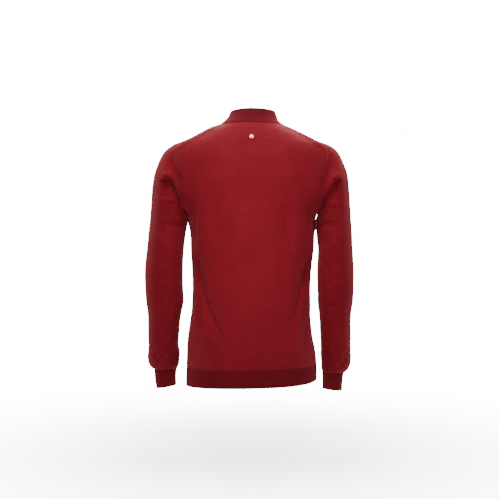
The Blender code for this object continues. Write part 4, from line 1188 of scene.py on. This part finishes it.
def make_stud():
    """A plain round metal stud at the nape, with a soft dome and a turned rim."""
    middle = body(np.array([90.0]), np.array([STUD_Z]))[0]
    out = Vector(body_out(np.array([90.0]), np.array([STUD_Z]))[0])
    profile = (
        (0.0, STUD_CLEAR),
        (STUD_RADIUS, STUD_CLEAR),
        (STUD_RADIUS, STUD_CLEAR + 0.9),
        (STUD_RADIUS - 0.3, STUD_CLEAR + 1.2),
        (STUD_RADIUS - 0.9, STUD_CLEAR + 1.2),
        (STUD_RADIUS - 1.2, STUD_CLEAR + 0.95),
        (STUD_RADIUS * 0.5, STUD_CLEAR + 1.3),
        (0.0, STUD_CLEAR + 1.4),
    )
    disc = bmesh.new()
    verts = [disc.verts.new((r * MM, 0.0, h * MM)) for r, h in profile]
    edges = [disc.edges.new(pair) for pair in zip(verts, verts[1:])]
    bmesh.ops.spin(
        disc, geom=verts + edges, cent=(0, 0, 0), axis=(0, 0, 1), dvec=(0, 0, 0),
        angle=math.tau, steps=64, use_merge=True)
    bmesh.ops.remove_doubles(disc, verts=disc.verts, dist=WELD)
    bmesh.ops.recalc_face_normals(disc, faces=disc.faces)
    turn = out.to_track_quat("Z", "Y").to_matrix().to_4x4()
    turn.translation = Vector(middle) * MM
    disc.transform(turn)
    for face in disc.faces:
        face.smooth = True
    mesh = as_mesh("nape_stud_disc", disc)
    mesh.set_sharp_from_angle(angle=math.radians(40))
    stud = add_object("nape_stud_disc", mesh)
    dress(stud, "nape_stud", "stud_metal")
    return stud


def make_linking(name, points, outs, sink):
    """The small loops of yarn that join two pieces, side by side along their seam."""
    run = np.concatenate([[0.0], np.cumsum(np.linalg.norm(np.diff(points, axis=0), axis=1))])
    count = int(run[-1] / LINK_PITCH)
    ball = bmesh.new()
    bmesh.ops.create_uvsphere(ball, u_segments=6, v_segments=4, radius=1.0)
    stitch = as_mesh("stitch", ball)
    seam = bmesh.new()
    for k in range(count):
        at = (k + 0.5) * run[-1] / count
        place = on_line(run, points, at)
        out = unit(on_line(run, outs, at))
        along = on_line(run, points, at + 1) - place
        along = unit(along - out * (along @ out))
        lean = unit(along + np.cross(out, along) * (LINK_LEAN if k % 2 else -LINK_LEAN))
        turn = Matrix([lean * LINK_LENGTH, np.cross(out, lean) * LINK_WIDTH, out * LINK_WIDTH])
        turn = (turn.transposed() * MM).to_4x4()
        turn.translation = (place - out * sink) * MM
        loop = stitch.copy()
        loop.transform(turn)
        seam.from_mesh(loop)
        bpy.data.meshes.remove(loop)
    bpy.data.meshes.remove(stitch)
    mesh = as_mesh(name, seam)
    mesh.shade_smooth()
    links = add_object(name, mesh)
    # The linking finish is a paler red than the knit: painted highlight along the seams.
    mesh.materials.append(FINISHES["linking"])
    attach(links, "root")


def make_seams():
    """The linking at the armholes, shoulders, neck, sides and hem."""
    for side, name in ((1.0, "left"), (-1.0, "right")):
        loop, out, _ = sleeve_loop(side)
        loop, out = mirrored(loop, side), mirrored(out, side)
        loop, out = np.concatenate([loop, loop[:1]]), np.concatenate([out, out[:1]])
        make_linking("armhole_" + name + "_linking", loop, out, LINK_SINK)
        around, z = shoulder_edge(80)
        around = around if side > 0 else 180 - around
        make_linking("shoulder_" + name + "_linking", *on_body(around, z), LINK_SINK)
        level = np.linspace(HEM_LEVEL, ARMHOLE[0][1], 200)
        turn = np.full(200, 0.0 if side > 0 else 180.0)
        make_linking("side_" + name + "_linking", *on_body(turn, level), LINK_HIDDEN)
    around = np.linspace(-90.0, 270.0, 481)
    make_linking("neck_linking", *on_body(around, neck_level(around)), LINK_HIDDEN)
    around = np.linspace(0.0, 360.0, 721)
    across = torso(around, np.full(721, HEM_LEVEL))[:, 0]
    level = reading(HEM, HEM_COLUMNS, "seam", across)
    make_linking("hem_linking", *on_body(around, level), LINK_HIDDEN)


# ---- finishes


class Net:
    """A node tree with short calls for the nodes that the finishes share."""

    def __init__(self, tree):
        self.tree = tree

    def add(self, kind, **values):
        node = self.tree.nodes.new(kind)
        for key, value in values.items():
            setattr(node, key, value)
        return node

    def link(self, source, target):
        self.tree.links.new(source, target)

    def put(self, value, socket):
        if isinstance(value, (int, float, tuple)):
            socket.default_value = value
        else:
            self.link(value, socket)

    def fill(self, node, values):
        for key, value in values.items():
            self.put(value, node.inputs[key])
        return node

    def calc(self, operation, *values):
        node = self.add("ShaderNodeMath", operation=operation)
        for value, socket in zip(values, node.inputs):
            self.put(value, socket)
        return node.outputs[0]

    def scaled(self, vector, by):
        node = self.add("ShaderNodeVectorMath", operation="MULTIPLY")
        return self.fill(node, {0: vector, 1: by}).outputs[0]

    def noise(self, vector, scale, detail, rough=0.5):
        values = {"Vector": vector, "Scale": scale, "Detail": detail, "Roughness": rough}
        return self.fill(self.add("ShaderNodeTexNoise"), values).outputs[0]

    def mixed(self, factor, first, second, blend="MIX"):
        node = self.add("ShaderNodeMix", data_type="RGBA", blend_type=blend, clamp_factor=True)
        return self.fill(node, {"Factor": factor, "A": first, "B": second}).outputs["Result"]

    def span(self, value, low, high, start=0.25, end=0.75, kind="LINEAR"):
        node = self.add("ShaderNodeMapRange", interpolation_type=kind)
        values = {"Value": value, "From Min": start, "From Max": end, "To Min": low, "To Max": high}
        return self.fill(node, values).outputs[0]


def group(name, inputs, outputs):
    """A new node group with its sockets, and its input and output nodes."""
    tree = bpy.data.node_groups.new(name, "ShaderNodeTree")
    for label, kind, value in inputs:
        socket = tree.interface.new_socket(name=label, in_out="INPUT", socket_type=kind)
        if value is not None:
            socket.default_value = value
    for label, kind in outputs:
        tree.interface.new_socket(name=label, in_out="OUTPUT", socket_type=kind)
    net = Net(tree)
    return net, net.add("NodeGroupInput"), net.add("NodeGroupOutput")


def knit_group():
    """Plain knit: two leaning legs to a stitch, in columns and rows. Height is 0 to 1."""
    net, given, made = group(
        "plain_knit",
        (("Map", "NodeSocketVector", None), ("Stitch", "NodeSocketVector", (0.0014, 0.0011, 1.0))),
        (("Height", "NodeSocketFloat"), ("Leg", "NodeSocketFloat")))
    cells = net.add("ShaderNodeVectorMath", operation="DIVIDE")
    net.fill(cells, {0: given.outputs["Map"], 1: given.outputs["Stitch"]})
    place = net.add("ShaderNodeSeparateXYZ")
    net.link(cells.outputs[0], place.inputs[0])
    inside = net.calc("SUBTRACT", net.calc("FRACT", place.outputs[0]), 0.5)
    away = net.calc("MULTIPLY", net.calc("ABSOLUTE", inside), 2.0)
    leg = net.calc("SINE", net.calc("MULTIPLY", away, math.pi))
    slant = net.calc("ADD", place.outputs[1], net.calc("MULTIPLY", away, -0.6))
    wave = net.calc("SINE", net.calc("MULTIPLY", slant, math.tau))
    course = net.calc("MULTIPLY_ADD", wave, 0.28, 0.72)
    net.link(net.calc("MULTIPLY", leg, course), made.inputs["Height"])
    net.link(leg, made.inputs["Leg"])
    return net.tree


def wool_group():
    """The dyed yarn: heathered flecks, faint streaks along the rows and soft clouds of tone."""
    net, given, made = group(
        "dyed_wool",
        (("Map", "NodeSocketVector", None), ("Place", "NodeSocketVector", None),
         ("Dark", "NodeSocketColor", (0.1, 0.0, 0.0, 1)),
         ("Light", "NodeSocketColor", (0.3, 0.0, 0.0, 1))),
        (("Color", "NodeSocketColor"), ("Fuzz", "NodeSocketFloat")))
    flecks = net.noise(given.outputs["Place"], 1500.0, 2.0, 0.7)
    streaks = net.noise(net.scaled(given.outputs["Map"], (22.0, 380.0, 1.0)), 1.0, 3.0, 0.65)
    columns = net.noise(net.scaled(given.outputs["Map"], (260.0, 5.0, 1.0)), 1.0, 2.0, 0.5)
    clouds = net.noise(given.outputs["Place"], 11.0, 3.0, 0.55)
    tone = net.calc("ADD", net.span(flecks, -0.30, 0.30), net.span(streaks, -0.15, 0.15))
    tone = net.calc("ADD", tone, net.span(columns, -0.07, 0.07))
    tone = net.calc("ADD", tone, net.span(clouds, 0.40, 0.60))
    dyed = net.mixed(tone, given.outputs["Dark"], given.outputs["Light"])
    fuzz = net.noise(given.outputs["Place"], 620.0, 3.0, 0.65)
    net.fill(made, {"Color": dyed, "Fuzz": fuzz})
    return net.tree


def new_finish(name):
    """A new material, its net of nodes and its shader."""
    made = bpy.data.materials.new(name)
    made.use_nodes = True
    return made, Net(made.node_tree), made.node_tree.nodes["Principled BSDF"]


def cloth_finish(knit, wool, name, dark, light, rough, sheen, stitch, depth):
    """A wool finish: dyed yarn, painted shade in the stitch hollows, knit relief, fuzz and a soft
    sheen.
    """
    made, net, shader = new_finish(name)
    lengths = net.add("ShaderNodeUVMap", uv_map="cloth").outputs[0]
    place = net.add("ShaderNodeTexCoord").outputs["Object"]
    yarn = net.add("ShaderNodeGroup", node_tree=wool)
    net.fill(yarn, {"Map": lengths, "Place": place, "Dark": (*dark, 1.0), "Light": (*light, 1.0)})
    loops = net.add("ShaderNodeGroup", node_tree=knit)
    net.fill(loops, {"Map": lengths, "Stitch": stitch})
    fuzz, height = yarn.outputs["Fuzz"], loops.outputs["Height"]
    # Painted shade: the base colour is darkened in the hollows between the stitches.
    painted_hollow_shade = net.calc("MULTIPLY_ADD", height, -PAINTED_HOLLOW_SHADE, PAINTED_HOLLOW_SHADE)
    relief = net.calc("MULTIPLY_ADD", fuzz, 0.5, height)
    bump = net.add("ShaderNodeBump")
    net.fill(bump, {"Strength": 0.45, "Distance": depth, "Height": relief})
    net.fill(shader, {
        "Base Color": net.mixed(painted_hollow_shade, yarn.outputs["Color"], PAINTED_SHADE_TONE, "MULTIPLY"),
        "Roughness": net.span(fuzz, rough - 0.06, rough + 0.06),
        "Normal": bump.outputs[0],
        "Specular IOR Level": 0.10,
        "Sheen Weight": sheen,
        "Sheen Roughness": 0.45,
        "Sheen Tint": (1.0, 0.20, 0.24, 1.0),
    })
    return made


def metal_finish():
    """Polished rose gold with fine turning marks."""
    made, net, shader = new_finish("rose_metal")
    place = net.add("ShaderNodeTexCoord").outputs["Object"]
    marks = net.noise(net.scaled(place, (900.0, 900.0, 5200.0)), 1.0, 2.0)
    net.fill(shader, {
        "Base Color": net.mixed(marks, (0.52, 0.17, 0.085, 1.0), (0.72, 0.27, 0.15, 1.0)),
        "Roughness": net.span(marks, 0.34, 0.48),
        "Metallic": 1.0,
    })
    return made


def make_finishes():
    """One finish for each of the record's slots."""
    knit, wool = knit_group(), wool_group()
    finishes = {slot: cloth_finish(knit, wool, *row) for slot, *row in WOOLS}
    finishes["stud_metal"] = metal_finish()
    return finishes


def dress(piece, node, slot):
    """The piece stands for its solid, takes its finish and rides on the garment."""
    piece.data.materials.append(FINISHES[slot])
    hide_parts(node)
    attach(piece, "root")


# ---- floor, light and camera


def floor_finish():
    """A pale matte floor that fades into the white room away from the garment."""
    made, net, shader = new_finish("floor_pale")
    place = net.add("ShaderNodeTexCoord").outputs["Object"]
    far = net.add("ShaderNodeVectorMath", operation="LENGTH")
    net.link(place, far.inputs[0])
    seen = net.add("ShaderNodeLightPath").outputs["Is Camera Ray"]
    cloudy = net.noise(place, 3.0, 2.0)
    net.fill(shader, {
        "Base Color": net.mixed(cloudy, (0.91, 0.91, 0.91, 1.0), (0.94, 0.94, 0.94, 1.0)),
        "Roughness": 0.9,
        "Alpha": net.span(far.outputs["Value"], 1.0, 0.0, *FLOOR_FADE, "SMOOTHSTEP"),
        "Emission Color": (1.0, 1.0, 1.0, 1.0),
        "Emission Strength": net.calc("MULTIPLY", seen, FLOOR_GLOW),
    })
    return made


def make_floor():
    """A wide pale floor under the garment."""
    floor = bmesh.new()
    bmesh.ops.create_circle(floor, cap_ends=True, segments=96, radius=FLOOR_RADIUS)
    thing = add_object("floor", as_mesh("floor", floor))
    thing.location = (0.0, 0.0, FLOOR_Z)
    thing.data.materials.append(floor_finish())


def soft_light(name, place, aim, size, power, spread):
    """A square soft light that faces a point."""
    data = bpy.data.lights.new(name, "AREA")
    data.shape = "RECTANGLE"
    data.size, data.size_y = size
    data.energy = power
    data.color = (1.0, 0.98, 0.96)
    data.spread = math.radians(spread)
    light = add_object(name, data)
    light.location = place
    way = Vector(aim) - Vector(place)
    light.rotation_euler = way.to_track_quat("-Z", "Y").to_euler()
    light.visible_camera = False


def make_lights():
    """A pale room, wide lights overhead and at the sides, and a small one near each face."""
    world = bpy.data.worlds.new("room")
    bpy.context.scene.world = world
    world.use_nodes = True
    net = Net(world.node_tree)
    back = world.node_tree.nodes["Background"]
    back.inputs["Color"].default_value = (1.0, 1.0, 1.0, 1.0)
    seen = net.add("ShaderNodeLightPath").outputs["Is Camera Ray"]
    strength = net.calc("MULTIPLY_ADD", seen, ROOM_WHITE - ROOM_LIGHT, ROOM_LIGHT)
    net.link(strength, back.inputs["Strength"])
    for row in LIGHTS:
        soft_light(*row)


def make_camera():
    """The photograph's view, square from behind."""
    data = bpy.data.cameras.new("camera")
    data.sensor_width = 36.0
    data.lens = CAMERA_LENS
    camera = add_object("camera", data)
    camera.location = CAMERA_PLACE
    camera.rotation_euler = (math.radians(90), 0.0, math.radians(180))
    bpy.context.scene.camera = camera


FINISHES = make_finishes()
make_camera()
make_floor()
make_lights()
make_panel("back", False)
make_panel("front", True)
make_hem("hem_back", False)
make_hem("hem_front", True)
make_sleeve(1.0, "left")
make_sleeve(-1.0, "right")
make_collar()
make_seams()
make_stud()
